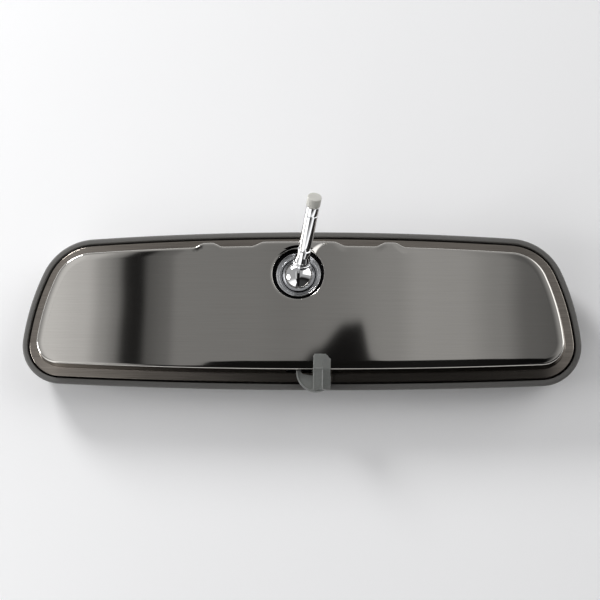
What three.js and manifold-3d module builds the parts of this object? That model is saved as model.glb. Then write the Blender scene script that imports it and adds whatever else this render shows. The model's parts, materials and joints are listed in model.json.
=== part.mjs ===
// Interior rearview mirror with a day and night lever, in millimetres, +Z up.
// +X is the driver's right, -Y faces the driver and +Y faces the windscreen.
// Everything is drawn about the middle of the ball joint, then moved so that the origin is the stem's end.
import * as THREE from "three";
import { mergeVertices } from "three/addons/utils/BufferGeometryUtils.js";
import Module from "manifold-3d";

const wasm = await Module();
wasm.setup();

// ---- Driving dimensions ----

const GAP = 0.3; // kept between touching pieces
const rad = THREE.MathUtils.degToRad;

// The head's outline is a run of tangent arcs: bottom, lower corner, side, upper corner, top.
const OUTLINE = {
  bottomRun: 109.4,
  bottomTurn: 2.5,
  lowerCorner: 18.4,
  sideLean: 95.3,
  side: 107.5,
  shoulderLean: 113,
  upperCorner: 26,
  topTurn: 3.85,
  topZ: 21.5,
};

// Depths along Y and insets from the outline.
const SHELL = {
  sheet: 0.8,
  plateauY: 6,
  flangeY: -1,
  skirtY: -10.4,
  edgeInset: 3.3,
  plateauInset: 9.5,
  wallRun: 3.2,
};
const BEZEL = {
  lipY: -0.6,
  frontY: -18.3,
  lipInset: 2.5,
  ledgeY: -10.7,
  seatInset: 4.2,
  frontInset: 6.4,
  frontLip: 1.2,
  taperDepth: 15.8,
  taperInset: 3.6,
};
const GLASS = { inset: 4.5, frontY: -16.8, topY: -11.3, bottomY: -14.5, coat: 0.3, coatGap: 0.15 };

// Places where the shell's step swells outwards along the top edge: half widths at the crest and at the foot.
const SWELL = {
  raise: 2.3,
  hingeX: 41.7,
  hingeCrest: 2.4,
  hingeFoot: 6.5,
  middleCrest: 16.3,
  middleFoot: 21.2,
};

// Ball joint: concentric spheres about the origin.
const BALL_R = 8;
const CUP = { inner: BALL_R + 0.2, outer: BALL_R + 1.4, halfAngle: 34 };
const DOME = {
  inner: CUP.outer + GAP,
  outer: CUP.outer + 1.5,
  seatAngle: 77,
  neckAngle: 79,
  collar: 13.8,
  collarY: -2.1,
  topY: 0.7,
  floor: 9.66,
  pocketGap: 0.4,
  wing: { halfX: 17.4, halfZ: 10.6, corner: 3, sheet: 1.2 },
};
const RING = {
  bore: 7.75,
  flare: 0.35,
  flareY: 3.1,
  rimBore: 9.1,
  rimChamfer: 0.3,
  neck: 10.2,
  flange: 12.2,
  backY: -0.6,
  shoulderY: 0.7,
  rimY: 4.2,
};
const HOLE_R = 11.8;

// Stem: a turned rod, leaning up and to the left as seen from the front.
const STEM = {
  length: 45.9,
  r: 3,
  neck: { angle: 153, r: 3.7, at: 7.6 },
  flare: { r: 4.1, from: 8.2, to: 9.2 },
  taper: { r: 3.6, from: 10.2, to: 12.8 },
  groove: { r: 2.55, from: 16.4, to: 18.3, edge: 0.3 },
  ring: { r: 2.8, from: 36.3, to: 37.1, edge: 0.2 },
  core: 2.2,
  tip: { r: 3.15, from: 41.4, recess: 0.2, chamfer: 0.3 },
};
const STEM_AXIS = new THREE.Vector3(-8.9, 36, 27.1).normalize();

// Carrier plate and the hinge that the case rocks on.
const PLATE = { frontY: 2.2, backY: 1.0, halfWidth: 18, halfHeight: 12, barTop: 11.3, barBottom: 5.5 };
const HINGE = { y: 0, z: 11, pin: 1.2, bore: 1.35, barrel: 2.4, from: 40.2, to: 43.4 };
const RIVET = { x: 14.6, z: 7.6, shank: 1.3, head: 2.1, headY: -0.8, headHeight: 1.1, tailHeight: 0.6 };
const BEND = { rootZ: -10, fromZ: -18.4, toZ: -28.6, backShift: 0.6 };

// Day and night lever: it turns about an axis along Y, and its cam lifts the carrier's tongue.
const LEVER = {
  x: -8.5,
  z: -40.4,
  backY: 0.8,
  faceY: 3.4,
  hub: 3.4,
  travel: 45,
  armUnderY: 6.4,
  armFaceY: 8.2,
};
const NIB = { angle: 115, orbit: 5.5, r: 1.2 };
const CAM = { inner: 2, outer: 7.5, baseY: -10.3, dayY: -7, nightY: -3.36, from: 48, to: 135 };
const SLOT = { fromX: -12.4, toX: 4.7, backY: 0.3, frontY: 3.9 };

const LEVER_SHAFT = 1.2;
const HUB_BACK_Y = -2.4;
const HOOK = { r: 8.8, drop: 4.4, left: -15.2, right: -2.6, notchX: -7, shelfZ: -46.5 };
const ARM = {
  left: -15.2,
  right: -7.6,
  flatLeft: -11.9,
  edgeShare: 0.2,
  topZ: -37.3,
  bendZ: -44,
  endZ: -52.7,
  dropY: 1.6,
  corner: 2.2,
};
const RISER = { right: -9, inset: 0.8, fromZ: -52.2, toZ: -48.9, sink: 0.2 };
const LEVER_BRACKET = { halfSpan: 14.5, sheet: 1, foot: 7, fromZ: -41.4, toZ: -34.5 };
const BRACKET = { earAt: 2.9, sheet: 1, eye: 2.3 };
const SPRING = {
  x: 2.5,
  halfWidth: 3,
  sheet: 0.5,
  fromZ: -14.4,
  bendZ: -20,
  crestZ: -31,
  endZ: -33,
  tipY: 1.1,
  curl: 0.8,
  rivet: 0.9,
  rivetZ: -16,
  headHeight: 0.4,
};
const SPRING_TAB = { half: 4, endZ: -19, corner: 1.5 };
const BUFFER = { x: 86, z: [-2, -36], foot: 5, footHeight: 2, r: 3.8 };
const CLIP = { sheet: 0.4, mouth: 25, rim: 1.3, groove: 0.35, grooveFrom: 0.3, grooveTo: 1.1, end: 1.5 };

// ---- Solids ----

function solid(geometry) {
  const bare = geometry.clone();
  bare.deleteAttribute("normal");
  bare.deleteAttribute("uv");
  const merged = mergeVertices(bare, 1e-4);
  const mesh = new wasm.Mesh({
    numProp: 3,
    vertProperties: new Float32Array(merged.attributes.position.array),
    triVerts: new Uint32Array(merged.index.array),
  });
  return new wasm.Manifold(mesh);
}

function geometryOf(manifold) {
  const mesh = manifold.getMesh();
  const geometry = new THREE.BufferGeometry();
  geometry.setAttribute("position", new THREE.BufferAttribute(mesh.vertProperties, 3));
  geometry.setIndex(new THREE.BufferAttribute(mesh.triVerts, 1));
  const faceted = geometry.toNonIndexed();
  faceted.computeVertexNormals();
  return faceted;
}

const join = (first, ...others) => others.reduce((sum, g) => sum.add(solid(g)), solid(first));
const cut = (manifold, ...tools) => tools.reduce((rest, g) => rest.subtract(solid(g)), manifold);

// ---- Shapes ----

// Appends one arc of the outline; the heading is the way the pen points, in degrees from +X.
function arcTo(points, radius, from, to, steps) {
  const start = points[points.length - 1];
  for (let i = 1; i <= steps; i++) {
    const heading = rad(from + ((to - from) * i) / steps);
    const x = start.x + radius * (Math.sin(heading) - Math.sin(rad(from)));
    const z = start.y + radius * (Math.cos(rad(from)) - Math.cos(heading));
    points.push(new THREE.Vector2(x, z));
  }
}

// Right half of the outline up to the top arc, drawn from the middle of the bottom edge at z = 0.
function lowerHalf(inset) {
  const o = OUTLINE;
  const points = [new THREE.Vector2(0, inset)];
  arcTo(points, o.bottomRun / Math.sin(rad(o.bottomTurn)) - inset, 0, o.bottomTurn, 5);
  arcTo(points, o.lowerCorner - inset, o.bottomTurn, o.sideLean, 9);
  arcTo(points, o.side - inset, o.sideLean, o.shoulderLean, 4);
  arcTo(points, o.upperCorner - inset, o.shoulderLean, 180 - o.topTurn, 8);
  return points;
}

const topStart = lowerHalf(0).pop();
const TOP_R = topStart.x / Math.sin(rad(OUTLINE.topTurn));
const HEAD_HEIGHT = topStart.y + TOP_R * (1 - Math.cos(rad(OUTLINE.topTurn)));
const HEAD_BOTTOM = OUTLINE.topZ - HEAD_HEIGHT;

// How far the step swells outwards at a place along the top edge, from 0 to 1.
function swell(x) {
  const ramp = (foot, crest, d) => THREE.MathUtils.clamp((foot - d) / (foot - crest), 0, 1);
  const hinge = ramp(SWELL.hingeFoot, SWELL.hingeCrest, Math.abs(x - SWELL.hingeX));
  return Math.max(hinge, ramp(SWELL.middleFoot, SWELL.middleCrest, x));
}

const TOP_STOPS = [77, 58, 39, 19, 0]; // where the top arc has its points, along X

// The closed outline, moved inwards by inset; raise lifts the swells of the top edge.
function outline(inset, raise = 0) {
  const half = lowerHalf(inset);
  half.forEach((p) => (p.y += HEAD_BOTTOM));
  const s = SWELL;
  const swells = [s.hingeFoot, s.hingeCrest, -s.hingeCrest, -s.hingeFoot].map((d) => s.hingeX + d);
  const stops = raise ? [80, 64, ...swells, s.middleFoot, s.middleCrest, 0] : TOP_STOPS;
  for (const x of stops) {
    const arc = Math.sqrt((TOP_R - inset) ** 2 - x ** 2) - TOP_R + OUTLINE.topZ;
    half.push(new THREE.Vector2(x, arc + raise * swell(x)));
  }
  const mirrored = half.slice(1, -1).reverse();
  return new THREE.Shape([...half, ...mirrored.map((p) => new THREE.Vector2(-p.x, p.y))]);
}

// A slab whose shape lies in the X-Z plane, from backY down to frontY.
function slab(shape, backY, frontY, bevel = {}) {
  const options = { depth: backY - frontY, bevelEnabled: false, curveSegments: 8, ...bevel };
  return new THREE.ExtrudeGeometry(shape, options).rotateX(Math.PI / 2).translate(0, backY, 0);
}

// A slab with its back edges cut off at a slope: the shape is the small face, at backY.
function frustum(shape, backY, run, rise) {
  const bevel = { bevelEnabled: true, bevelThickness: rise, bevelSize: run, bevelSegments: 1 };
  return slab(shape, backY - rise, backY - rise - SHELL.sheet, bevel);
}

// A strip whose profile lies in the Y-Z plane, as [y, z] points, from fromX to toX.
function strip(profile, fromX, toX) {
  const shape = new THREE.Shape(profile.map(([y, z]) => new THREE.Vector2(y, z)));
  const geometry = new THREE.ExtrudeGeometry(shape, { depth: toX - fromX, bevelEnabled: false });
  const turn = new THREE.Matrix4().makeBasis(
    new THREE.Vector3(0, 1, 0),
    new THREE.Vector3(0, 0, 1),
    new THREE.Vector3(1, 0, 0),
  );
  return geometry.applyMatrix4(turn).translate(fromX, 0, 0);
}

function box(fromX, toX, fromY, toY, fromZ, toZ) {
  const geometry = new THREE.BoxGeometry(toX - fromX, toY - fromY, toZ - fromZ);
  return geometry.translate((fromX + toX) / 2, (fromY + toY) / 2, (fromZ + toZ) / 2);
}

// A solid turned about the Y axis from a closed profile of [radius, y] points, anticlockwise.
function turned(profile, segments = 28) {
  const closed = [...profile, profile[0]].map(([r, y]) => new THREE.Vector2(r, y));
  return new THREE.LatheGeometry(closed, segments);
}

const pinY = (r, fromY, toY, segments = 16) =>
  new THREE.CylinderGeometry(r, r, toY - fromY, segments).translate(0, (fromY + toY) / 2, 0);

const pinX = (r, fromX, toX, segments = 16) =>
  new THREE.CylinderGeometry(r, r, toX - fromX, segments)
    .rotateZ(Math.PI / 2)
    .translate((fromX + toX) / 2, 0, 0);

// Points of an arc about the Y axis's origin, in degrees from -Y, as [radius, y].
function sphereArc(radius, from, to, steps) {
  const points = [];
  for (let i = 0; i <= steps; i++) {
    const a = rad(from + ((to - from) * i) / steps);
    points.push([Math.max(0, radius * Math.sin(a)), -radius * Math.cos(a)]);
  }
  return points;
}

function roundedRect(fromX, toX, fromZ, toZ, r) {
  const shape = new THREE.Shape();
  shape.moveTo(fromX + r, fromZ);
  shape.lineTo(toX - r, fromZ).absarc(toX - r, fromZ + r, r, -Math.PI / 2, 0, false);
  shape.lineTo(toX, toZ - r).absarc(toX - r, toZ - r, r, 0, Math.PI / 2, false);
  shape.lineTo(fromX + r, toZ).absarc(fromX + r, toZ - r, r, Math.PI / 2, Math.PI, false);
  shape.lineTo(fromX, fromZ + r).absarc(fromX + r, fromZ + r, r, Math.PI, 1.5 * Math.PI, false);
  return shape;
}

// ---- Materials ----

const finish = (color, roughness, metalness, extra = {}) => () =>
  new THREE.MeshStandardMaterial({ color, roughness, metalness, ...extra });
const stainless = finish(0x9a9996, 0.16, 1);
const chrome = finish(0xd6d6d4, 0.08, 1);
const vinyl = finish(0x75767a, 0.6, 0);
const nylon = finish(0xb4b8b4, 0.45, 0);
const zincPlated = finish(0xa8aaa4, 0.38, 1);
const springSteel = finish(0x6a6c6f, 0.35, 1);
const acetal = finish(0xe4e2da, 0.5, 0);
const rubber = finish(0x232323, 0.85, 0);
const clearGlass = finish(0xdfe8e6, 0.03, 0, { transparent: true, opacity: 0.3 });
const silver = finish(0xc9cccd, 0.06, 1);

// ---- Assembly groups ----

const mirror = new THREE.Group();
const origin = STEM_AXIS.clone().multiplyScalar(-STEM.length);
mirror.position.copy(origin);
const head = new THREE.Group();
const stem = new THREE.Group();
stem.quaternion.setFromUnitVectors(new THREE.Vector3(0, 1, 0), STEM_AXIS);
mirror.add(head, stem);

function add(group, name, geometry, material) {
  const mesh = new THREE.Mesh(geometry, material());
  mesh.name = name;
  group.add(mesh);
}

// ---- Stem and friction cup, drawn along the stem's own +Y ----

// A groove in the rod with sloping edges.
const grooveProfile = ({ r, from, to, edge }) => [
  [STEM.r, from],
  [r, from + edge],
  [r, to - edge],
  [STEM.r, to],
];

function ballStud() {
  const { length, r, neck, flare, taper, groove, ring, core, tip } = STEM;
  return turned([
    ...sphereArc(BALL_R, 0, neck.angle, 17),
    [neck.r, neck.at],
    [flare.r, flare.from],
    [flare.r, flare.to],
    [taper.r, taper.from],
    [r, taper.to],
    ...grooveProfile(groove),
    ...grooveProfile(ring),
    [r, tip.from - GAP],
    [core, tip.from],
    [core, length],
    [0, length],
  ]);
}

function tipSleeve() {
  const { tip, core, length } = STEM;
  const end = length - tip.recess;
  const profile = [
    [core + GAP, tip.from],
    [tip.r, tip.from],
    [tip.r, end - tip.chamfer],
    [tip.r - tip.chamfer, end],
    [core + GAP, end],
  ];
  return turned(profile, 24);
}

function frictionCup() {
  const outer = sphereArc(CUP.outer, 0, CUP.halfAngle, 6);
  const inner = sphereArc(CUP.inner, CUP.halfAngle, 0, 6);
  return turned([...outer, ...inner]);
}

add(stem, "ball_stud", ballStud(), chrome);
add(stem, "stem_tip_sleeve", tipSleeve(), nylon);
add(stem, "friction_cup", frictionCup(), acetal);

// ---- Socket ----

function seatRing() {
  const r = RING;
  const innerFrom = 180 - THREE.MathUtils.radToDeg(Math.asin(r.bore / CUP.inner));
  const innerTo = THREE.MathUtils.radToDeg(Math.acos(-r.backY / CUP.inner));
  return turned([
    [r.flange, r.backY],
    [r.flange, r.shoulderY],
    [r.neck, r.shoulderY],
    [r.neck, r.rimY - r.rimChamfer],
    [r.neck - r.rimChamfer, r.rimY],
    [r.rimBore, r.rimY],
    [r.bore + r.flare, r.flareY],
    ...sphereArc(CUP.inner, innerFrom, innerTo, 5),
  ]);
}

function rivetPlaces(visit) {
  const places = [];
  for (const z of [RIVET.z, -RIVET.z])
    for (const x of [-RIVET.x, RIVET.x]) places.push(visit(x, z, places.length + 1));
  return places;
}

const rivetHoles = () => rivetPlaces((x, z) => pinY(RIVET.shank + GAP, -2, 4).translate(x, 0, z));

function socketDome() {
  const d = DOME;
  const pocket = RING.flange + d.pocketGap;
  const floorY = RING.backY - GAP;
  const body = turned([
    ...sphereArc(d.outer, 0, d.neckAngle, 9),
    [d.collar, d.collarY],
    [d.collar, d.topY],
    [pocket, d.topY],
    [pocket, floorY],
    [d.floor, floorY],
    ...sphereArc(d.inner, d.seatAngle, 0, 9),
  ]);
  const { halfX, halfZ, corner, sheet } = d.wing;
  const ears = slab(roundedRect(-halfX, halfX, -halfZ, halfZ, corner), d.topY, d.topY - sheet);
  const wings = cut(solid(ears), pinY((pocket + d.collar) / 2, -2, 2, 28));
  return geometryOf(cut(solid(body).add(wings), ...rivetHoles()));
}

// A rivet from the dome's flange to the carrier plate, with a head on each side.
function socketRivet(x, z) {
  const { shank, head, headY, headHeight, tailHeight } = RIVET;
  const tail = PLATE.frontY + GAP;
  const profile = [
    [0, headY - headHeight],
    [head * 0.7, headY - headHeight],
    [head, headY - headHeight / 2],
    [head, headY],
    [shank, headY],
    [shank, tail],
    [head * 0.85, tail],
    [head * 0.85, tail + tailHeight / 2],
    [head * 0.5, tail + tailHeight],
    [0, tail + tailHeight],
  ];
  return turned(profile, 14).translate(x, 0, z);
}

// ---- Carrier ----

// Cylinders on the case's hinge line, one on each side.
function hingeSpans(from, to, r) {
  return [
    [from, to],
    [-to, -from],
  ].map(([a, b]) => pinX(r, a, b).translate(0, HINGE.y, HINGE.z));
}

const nibTurn = rad(NIB.angle);
const NIB_X = LEVER.x + NIB.orbit * Math.cos(nibTurn);
const NIB_Z = LEVER.z + NIB.orbit * Math.sin(nibTurn);
const CAM_SLOPE = (CAM.nightY - CAM.dayY) / (rad(LEVER.travel) * NIB.orbit);
const NIB_Y = CAM.dayY + NIB.r * Math.hypot(1, CAM_SLOPE) + GAP;
const TONGUE = { fromX: -15.6, toX: -9.9, backY: NIB_Y + 0.75, endZ: NIB_Z - 1.6 };

// The carrier's tongue: it leaves the plate, slopes down to the cam and carries the nib.
function tongueStrip() {
  const { frontY, backY } = PLATE;
  const t = TONGUE;
  const lowY = t.backY - (frontY - backY);
  const profile = [
    [frontY, BEND.rootZ],
    [backY, BEND.rootZ],
    [backY, BEND.fromZ],
    [lowY, BEND.toZ],
    [lowY, t.endZ],
    [t.backY, t.endZ],
    [t.backY, BEND.toZ + BEND.backShift],
    [frontY, BEND.fromZ + BEND.backShift],
  ];
  return strip(profile, t.fromX, t.toX);
}

function carrierPlate() {
  const p = PLATE;
  const bar = slab(roundedRect(-HINGE.to, HINGE.to, p.barBottom, p.barTop, 0.8), p.frontY, p.backY);
  const middleShape = roundedRect(-p.halfWidth, p.halfWidth, -p.halfHeight, p.halfHeight, 4);
  const middle = slab(middleShape, p.frontY, p.backY);
  const barrels = hingeSpans(HINGE.from, HINGE.to, HINGE.barrel);
  const bores = hingeSpans(HINGE.from - 1, HINGE.to + 1, HINGE.bore);
  const nib = new THREE.SphereGeometry(NIB.r, 10, 8).translate(NIB_X, NIB_Y, NIB_Z);
  const tab = SPRING_TAB;
  const tabShape = roundedRect(SPRING.x - tab.half, SPRING.x + tab.half, tab.endZ, 0, tab.corner);
  const springTab = slab(tabShape, p.frontY, p.backY);
  const made = join(bar, middle, springTab, tongueStrip(), nib, ...barrels);
  const earRoom = [-1, 1].map((side) => {
    const at = side * (SWELL.hingeX - BRACKET.earAt - BRACKET.sheet / 2);
    const half = BRACKET.sheet / 2 + 2 * GAP;
    return box(at - half, at + half, 0, 4, HINGE.z - BRACKET.eye - GAP, HINGE.z + 2);
  });
  const springHole = pinY(SPRING.rivet + GAP, 0, 4).translate(SPRING.x, 0, SPRING.rivetZ);
  const socket = pinY(RING.neck + GAP, 0, 4, 28);
  return geometryOf(cut(made, socket, springHole, ...earRoom, ...bores, ...rivetHoles()));
}

// A leaf spring riveted under the tongue's root; its free end bears on the case and pushes it to day.
function leafSpring() {
  const { x, halfWidth, sheet, fromZ, bendZ, crestZ, endZ, tipY, curl, rivet, rivetZ } = SPRING;
  const root = PLATE.backY - GAP;
  const profile = [
    [root, fromZ],
    [root - sheet, fromZ],
    [root - sheet, bendZ],
    [tipY - sheet, crestZ],
    [tipY - sheet - curl, endZ],
    [tipY - curl, endZ],
    [tipY, crestZ],
    [root, bendZ],
  ];
  const leaf = strip(profile, x - halfWidth, x + halfWidth);
  const hole = pinY(rivet + GAP, -4, 4).translate(x, 0, rivetZ);
  return geometryOf(cut(solid(leaf), hole));
}

function springRivet() {
  const { rivet, sheet, x, rivetZ, headHeight } = SPRING;
  const back = PLATE.backY - 2 * GAP - sheet;
  const front = PLATE.frontY + GAP;
  const profile = [
    [0, back - headHeight],
    [rivet * 1.5, back - headHeight],
    [rivet * 2, back],
    [rivet, back],
    [rivet, front],
    [rivet * 2, front],
    [rivet * 1.5, front + headHeight],
    [0, front + headHeight],
  ];
  return turned(profile, 14).translate(x, 0, rivetZ);
}

add(head, "seat_ring", seatRing(), chrome);
add(head, "socket_dome", socketDome(), zincPlated);
rivetPlaces((x, z, count) => add(head, `socket_rivet_${count}`, socketRivet(x, z), zincPlated));
add(head, "carrier_plate", carrierPlate(), zincPlated);
add(head, "leaf_spring", leafSpring(), springSteel);
add(head, "spring_rivet", springRivet(), zincPlated);

// ---- Case ----

// The shell's raised step with its sloping wall, moved inwards by the sheet's thickness for the inside.
function shellStep(sheet) {
  const slope = SHELL.wallRun / (SHELL.plateauY - SHELL.flangeY);
  const inset = SHELL.plateauInset - sheet * slope + sheet * Math.hypot(1, slope);
  const rise = SHELL.plateauY - SHELL.flangeY;
  return frustum(outline(inset, SWELL.raise), SHELL.plateauY - sheet, SHELL.wallRun, rise);
}

function backShell() {
  const { sheet, flangeY, skirtY, edgeInset } = SHELL;
  const outside = join(slab(outline(edgeInset), flangeY, skirtY), shellStep(0));
  const inside = join(slab(outline(edgeInset + sheet), flangeY - sheet, skirtY - 1), shellStep(sheet));
  const slot = box(SLOT.fromX, SLOT.toX, SLOT.backY, SLOT.frontY, HEAD_BOTTOM + 4, HEAD_BOTTOM + 12);
  return geometryOf(cut(outside.subtract(inside), pinY(HOLE_R, 0, 10, 40), slot));
}

function bezel() {
  const b = BEZEL;
  const taper = {
    bevelEnabled: true,
    bevelThickness: b.taperDepth,
    bevelSize: b.taperInset,
    bevelOffset: -b.taperInset,
    bevelSegments: 1,
  };
  const tapered = slab(outline(0), 6, b.frontY + b.taperDepth, taper);
  const body = solid(tapered).intersect(solid(slab(outline(-1), b.lipY, b.frontY - 1)));
  const shellPocket = slab(outline(b.lipInset), 2, b.ledgeY);
  const glassPocket = slab(outline(b.seatInset), b.ledgeY + 1, b.frontY + b.frontLip);
  const window = slab(outline(b.frontInset), b.frontY + 4, b.frontY - 2);
  return geometryOf(cut(body, shellPocket, glassPocket, window));
}

// The back face of the glass is a plane that leans away from the front face towards the top.
const wedgeSlope = (GLASS.topY - GLASS.bottomY) / (HEAD_HEIGHT - 2 * GLASS.inset);
const glassBackY = (z) => GLASS.topY - wedgeSlope * (OUTLINE.topZ - GLASS.inset - z);

// Everything behind the leaning plane that lies off the glass's back by the given distance.
function behindGlass(off) {
  const reach = 60;
  return strip(
    [
      [glassBackY(reach) + off, reach],
      [glassBackY(-reach) + off, -reach],
      [reach, -reach],
      [reach, reach],
    ],
    -200,
    200,
  );
}

function mirrorGlass() {
  const block = slab(outline(GLASS.inset), GLASS.topY + 1, GLASS.frontY);
  return geometryOf(cut(solid(block), behindGlass(0)));
}

function mirrorCoating() {
  const { inset, topY, frontY, coat, coatGap } = GLASS;
  const block = solid(slab(outline(inset + 0.6), topY + 2, frontY));
  const layer = block.intersect(solid(behindGlass(coatGap)));
  return geometryOf(cut(layer, behindGlass(coatGap + coat)));
}

// A stamped bracket under the shell that carries one end of the case's hinge.
function hingeBracket(side) {
  const roofY = SHELL.plateauY - SHELL.sheet - GAP;
  const ears = [-1, 1].map((hand) => {
    const middle = SWELL.hingeX + hand * (BRACKET.earAt + BRACKET.sheet / 2);
    const [from, to] = [middle - BRACKET.sheet / 2, middle + BRACKET.sheet / 2];
    const leg = box(from, to, HINGE.y, roofY - 0.1, HINGE.z - 2.1, HINGE.z + 0.5);
    const eye = pinX(BRACKET.eye, from, to).translate(0, HINGE.y, HINGE.z);
    return [leg, eye];
  });
  const half = BRACKET.earAt + BRACKET.sheet;
  const [from, to] = [SWELL.hingeX - half, SWELL.hingeX + half];
  const roof = box(from, to, roofY - BRACKET.sheet, roofY, 4.5, HINGE.z + 0.5);
  const bore = pinX(HINGE.pin + GAP, SWELL.hingeX - 9, SWELL.hingeX + 9).translate(0, HINGE.y, HINGE.z);
  const made = cut(join(roof, ...ears.flat()), bore);
  return geometryOf(side > 0 ? made : made.mirror([1, 0, 0]));
}

function hingePin(side) {
  const half = BRACKET.earAt + BRACKET.sheet + 0.5;
  const profile = [
    [0, -half],
    [HINGE.pin, -half],
    [HINGE.pin, half],
    [HINGE.pin + 0.6, half],
    [HINGE.pin + 0.6, half + 0.6],
    [0, half + 0.6],
  ];
  const alongX = turned(profile, 16).rotateZ((-side * Math.PI) / 2);
  return alongX.translate(side * SWELL.hingeX, HINGE.y, HINGE.z);
}

// A bent strip that hangs from the shell and carries the lever's shaft.
function leverBracket() {
  const b = LEVER_BRACKET;
  const roofY = SHELL.plateauY - SHELL.sheet - GAP;
  const floorY = CAM.baseY - GAP;
  const [left, right] = [LEVER.x - b.halfSpan, LEVER.x + b.halfSpan];
  const foot = b.foot;
  const legs = [left, right].map((x) => box(x, x + b.sheet, floorY - b.sheet, roofY, b.fromZ, b.toZ));
  const feet = [
    box(left - foot, left + b.sheet, roofY - b.sheet, roofY, b.fromZ, b.toZ),
    box(right, right + b.sheet + foot, roofY - b.sheet, roofY, b.fromZ, b.toZ),
  ];
  const floor = box(left, right + b.sheet, floorY - b.sheet, floorY, LEVER.z - 5, b.toZ);
  const bore = pinY(LEVER_SHAFT + GAP, -20, 0).translate(LEVER.x, 0, LEVER.z);
  return geometryOf(cut(join(floor, ...legs, ...feet), bore));
}

// Rubber buffers between the shell and the back of the glass.
function rubberBuffer(x, z) {
  const top = SHELL.plateauY - SHELL.sheet - GAP;
  const bottom = glassBackY(z) + GLASS.coat + GLASS.coatGap + 2 * GAP;
  const { foot, footHeight, r } = BUFFER;
  const profile = [
    [0, bottom],
    [foot, bottom],
    [foot, bottom + footHeight],
    [r, bottom + 2 * footHeight],
    [r, top],
    [0, top],
  ];
  return turned(profile, 20).translate(x, 0, z);
}

add(head, "back_shell", backShell(), stainless);
add(head, "bezel", bezel(), vinyl);
add(head, "mirror_glass", mirrorGlass(), clearGlass);
add(head, "mirror_coating", mirrorCoating(), silver);
for (const [name, side] of Object.entries({ left: -1, right: 1 })) {
  add(head, `hinge_bracket_${name}`, hingeBracket(side), zincPlated);
  add(head, `hinge_pin_${name}`, hingePin(side), zincPlated);
}
add(head, "lever_bracket", leverBracket(), zincPlated);
const bufferPlaces = BUFFER.z.flatMap((z) => [-BUFFER.x, BUFFER.x].map((x) => [x, z]));
bufferPlaces.forEach(([x, z], i) => add(head, `rubber_buffer_${i + 1}`, rubberBuffer(x, z), rubber));

// ---- Lever ----

function dayNightLever() {
  const l = LEVER;
  const { r, drop, left, right } = HOOK;
  const hook = new THREE.Shape();
  const low = l.z - drop;
  const tailAngle = Math.PI + Math.acos((l.x - left) / r);
  hook.moveTo(l.x + r, l.z - 1.6);
  hook.lineTo(l.x + r, low);
  hook.absarc(l.x, low, r, 2 * Math.PI, tailAngle, true);
  hook.lineTo(left, HOOK.shelfZ);
  hook.lineTo(HOOK.notchX, HOOK.shelfZ);
  hook.lineTo(right, HOOK.shelfZ + 0.8);
  hook.lineTo(right, l.z - 3);
  hook.lineTo(l.x + 2, l.z - 3);
  hook.lineTo(l.x + 2, l.z + 2.5);
  const plate = slab(hook, l.faceY, l.backY);
  const hub = pinY(l.hub, HUB_BACK_Y, l.faceY, 20).translate(l.x, 0, l.z);
  const { fromZ, toZ, sink } = RISER;
  const side = [
    [l.backY, fromZ],
    [l.backY, toZ],
    [armUnder(toZ) + sink, toZ],
    [armUnder(fromZ) + sink, fromZ],
  ];
  const riser = strip(side, ARM.left + RISER.inset, RISER.right);
  const bore = pinY(LEVER_SHAFT + 0.1, -10, l.faceY - 0.7).translate(l.x, 0, l.z);
  return geometryOf(cut(join(plate, hub, riser, armPlate()), bore));
}

// Height of the finger pad's underside: it falls away below the bend.
function armUnder(z) {
  const fall = THREE.MathUtils.clamp((ARM.bendZ - z) / (ARM.bendZ - ARM.endZ), 0, 1);
  return LEVER.armUnderY - ARM.dropY * fall;
}

// The finger pad stands off the shell, with a flat part and a part whose face slopes down to a thin edge.
function armPlate() {
  const { left, right, flatLeft, edgeShare, topZ, bendZ, endZ, corner } = ARM;
  const thick = LEVER.armFaceY - LEVER.armUnderY;
  const stops = [topZ, bendZ, endZ];
  const under = stops.map((z) => [armUnder(z), z]);
  const face = stops.map((z) => [armUnder(z) + thick, z]).reverse();
  const flat = strip([...under, ...face], flatLeft, right);
  const sloping = strip([...under, ...face], left, flatLeft);
  const at = sloping.attributes.position;
  for (let i = 0; i < at.count; i++) {
    const above = at.getY(i) - armUnder(at.getZ(i));
    if (at.getX(i) < flatLeft - 1) at.setY(i, armUnder(at.getZ(i)) + above * edgeShare);
  }
  const crop = new THREE.Shape([
    new THREE.Vector2(left - 1, topZ - corner - 1),
    new THREE.Vector2(left + corner + 1, topZ + 1),
    new THREE.Vector2(left - 1, topZ + 1),
  ]);
  return geometryOf(cut(join(flat, sloping), slab(crop, LEVER.armFaceY + 1, LEVER.armUnderY - 1)));
}

// A face cam whose ramp rises as the lever turns; the carrier's nib rides over it.
function leverCam() {
  const c = CAM;
  const wing = new THREE.Shape();
  wing.absarc(0, 0, c.outer, rad(c.from), rad(c.to), false);
  wing.absarc(0, 0, c.inner + 0.5, rad(c.to), rad(c.from), true);
  const geometry = new THREE.ExtrudeGeometry(wing, { depth: 1, bevelEnabled: false, curveSegments: 18 });
  const at = geometry.attributes.position;
  for (let i = 0; i < at.count; i++) {
    const turn = THREE.MathUtils.radToDeg(Math.atan2(at.getY(i), at.getX(i)));
    const climb = THREE.MathUtils.clamp((NIB.angle - turn) / LEVER.travel, 0, 1);
    const top = THREE.MathUtils.lerp(c.dayY, c.nightY, climb);
    at.setZ(i, at.getZ(i) > 0.5 ? -c.baseY : -top);
  }
  geometry.rotateX(Math.PI / 2);
  const hub = pinY(LEVER.hub, c.baseY, HUB_BACK_Y - GAP, 20);
  const bore = pinY(LEVER_SHAFT + 0.1, c.baseY - 1, HUB_BACK_Y + 1);
  return geometryOf(cut(join(geometry, hub), bore)).translate(LEVER.x, 0, LEVER.z);
}

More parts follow.
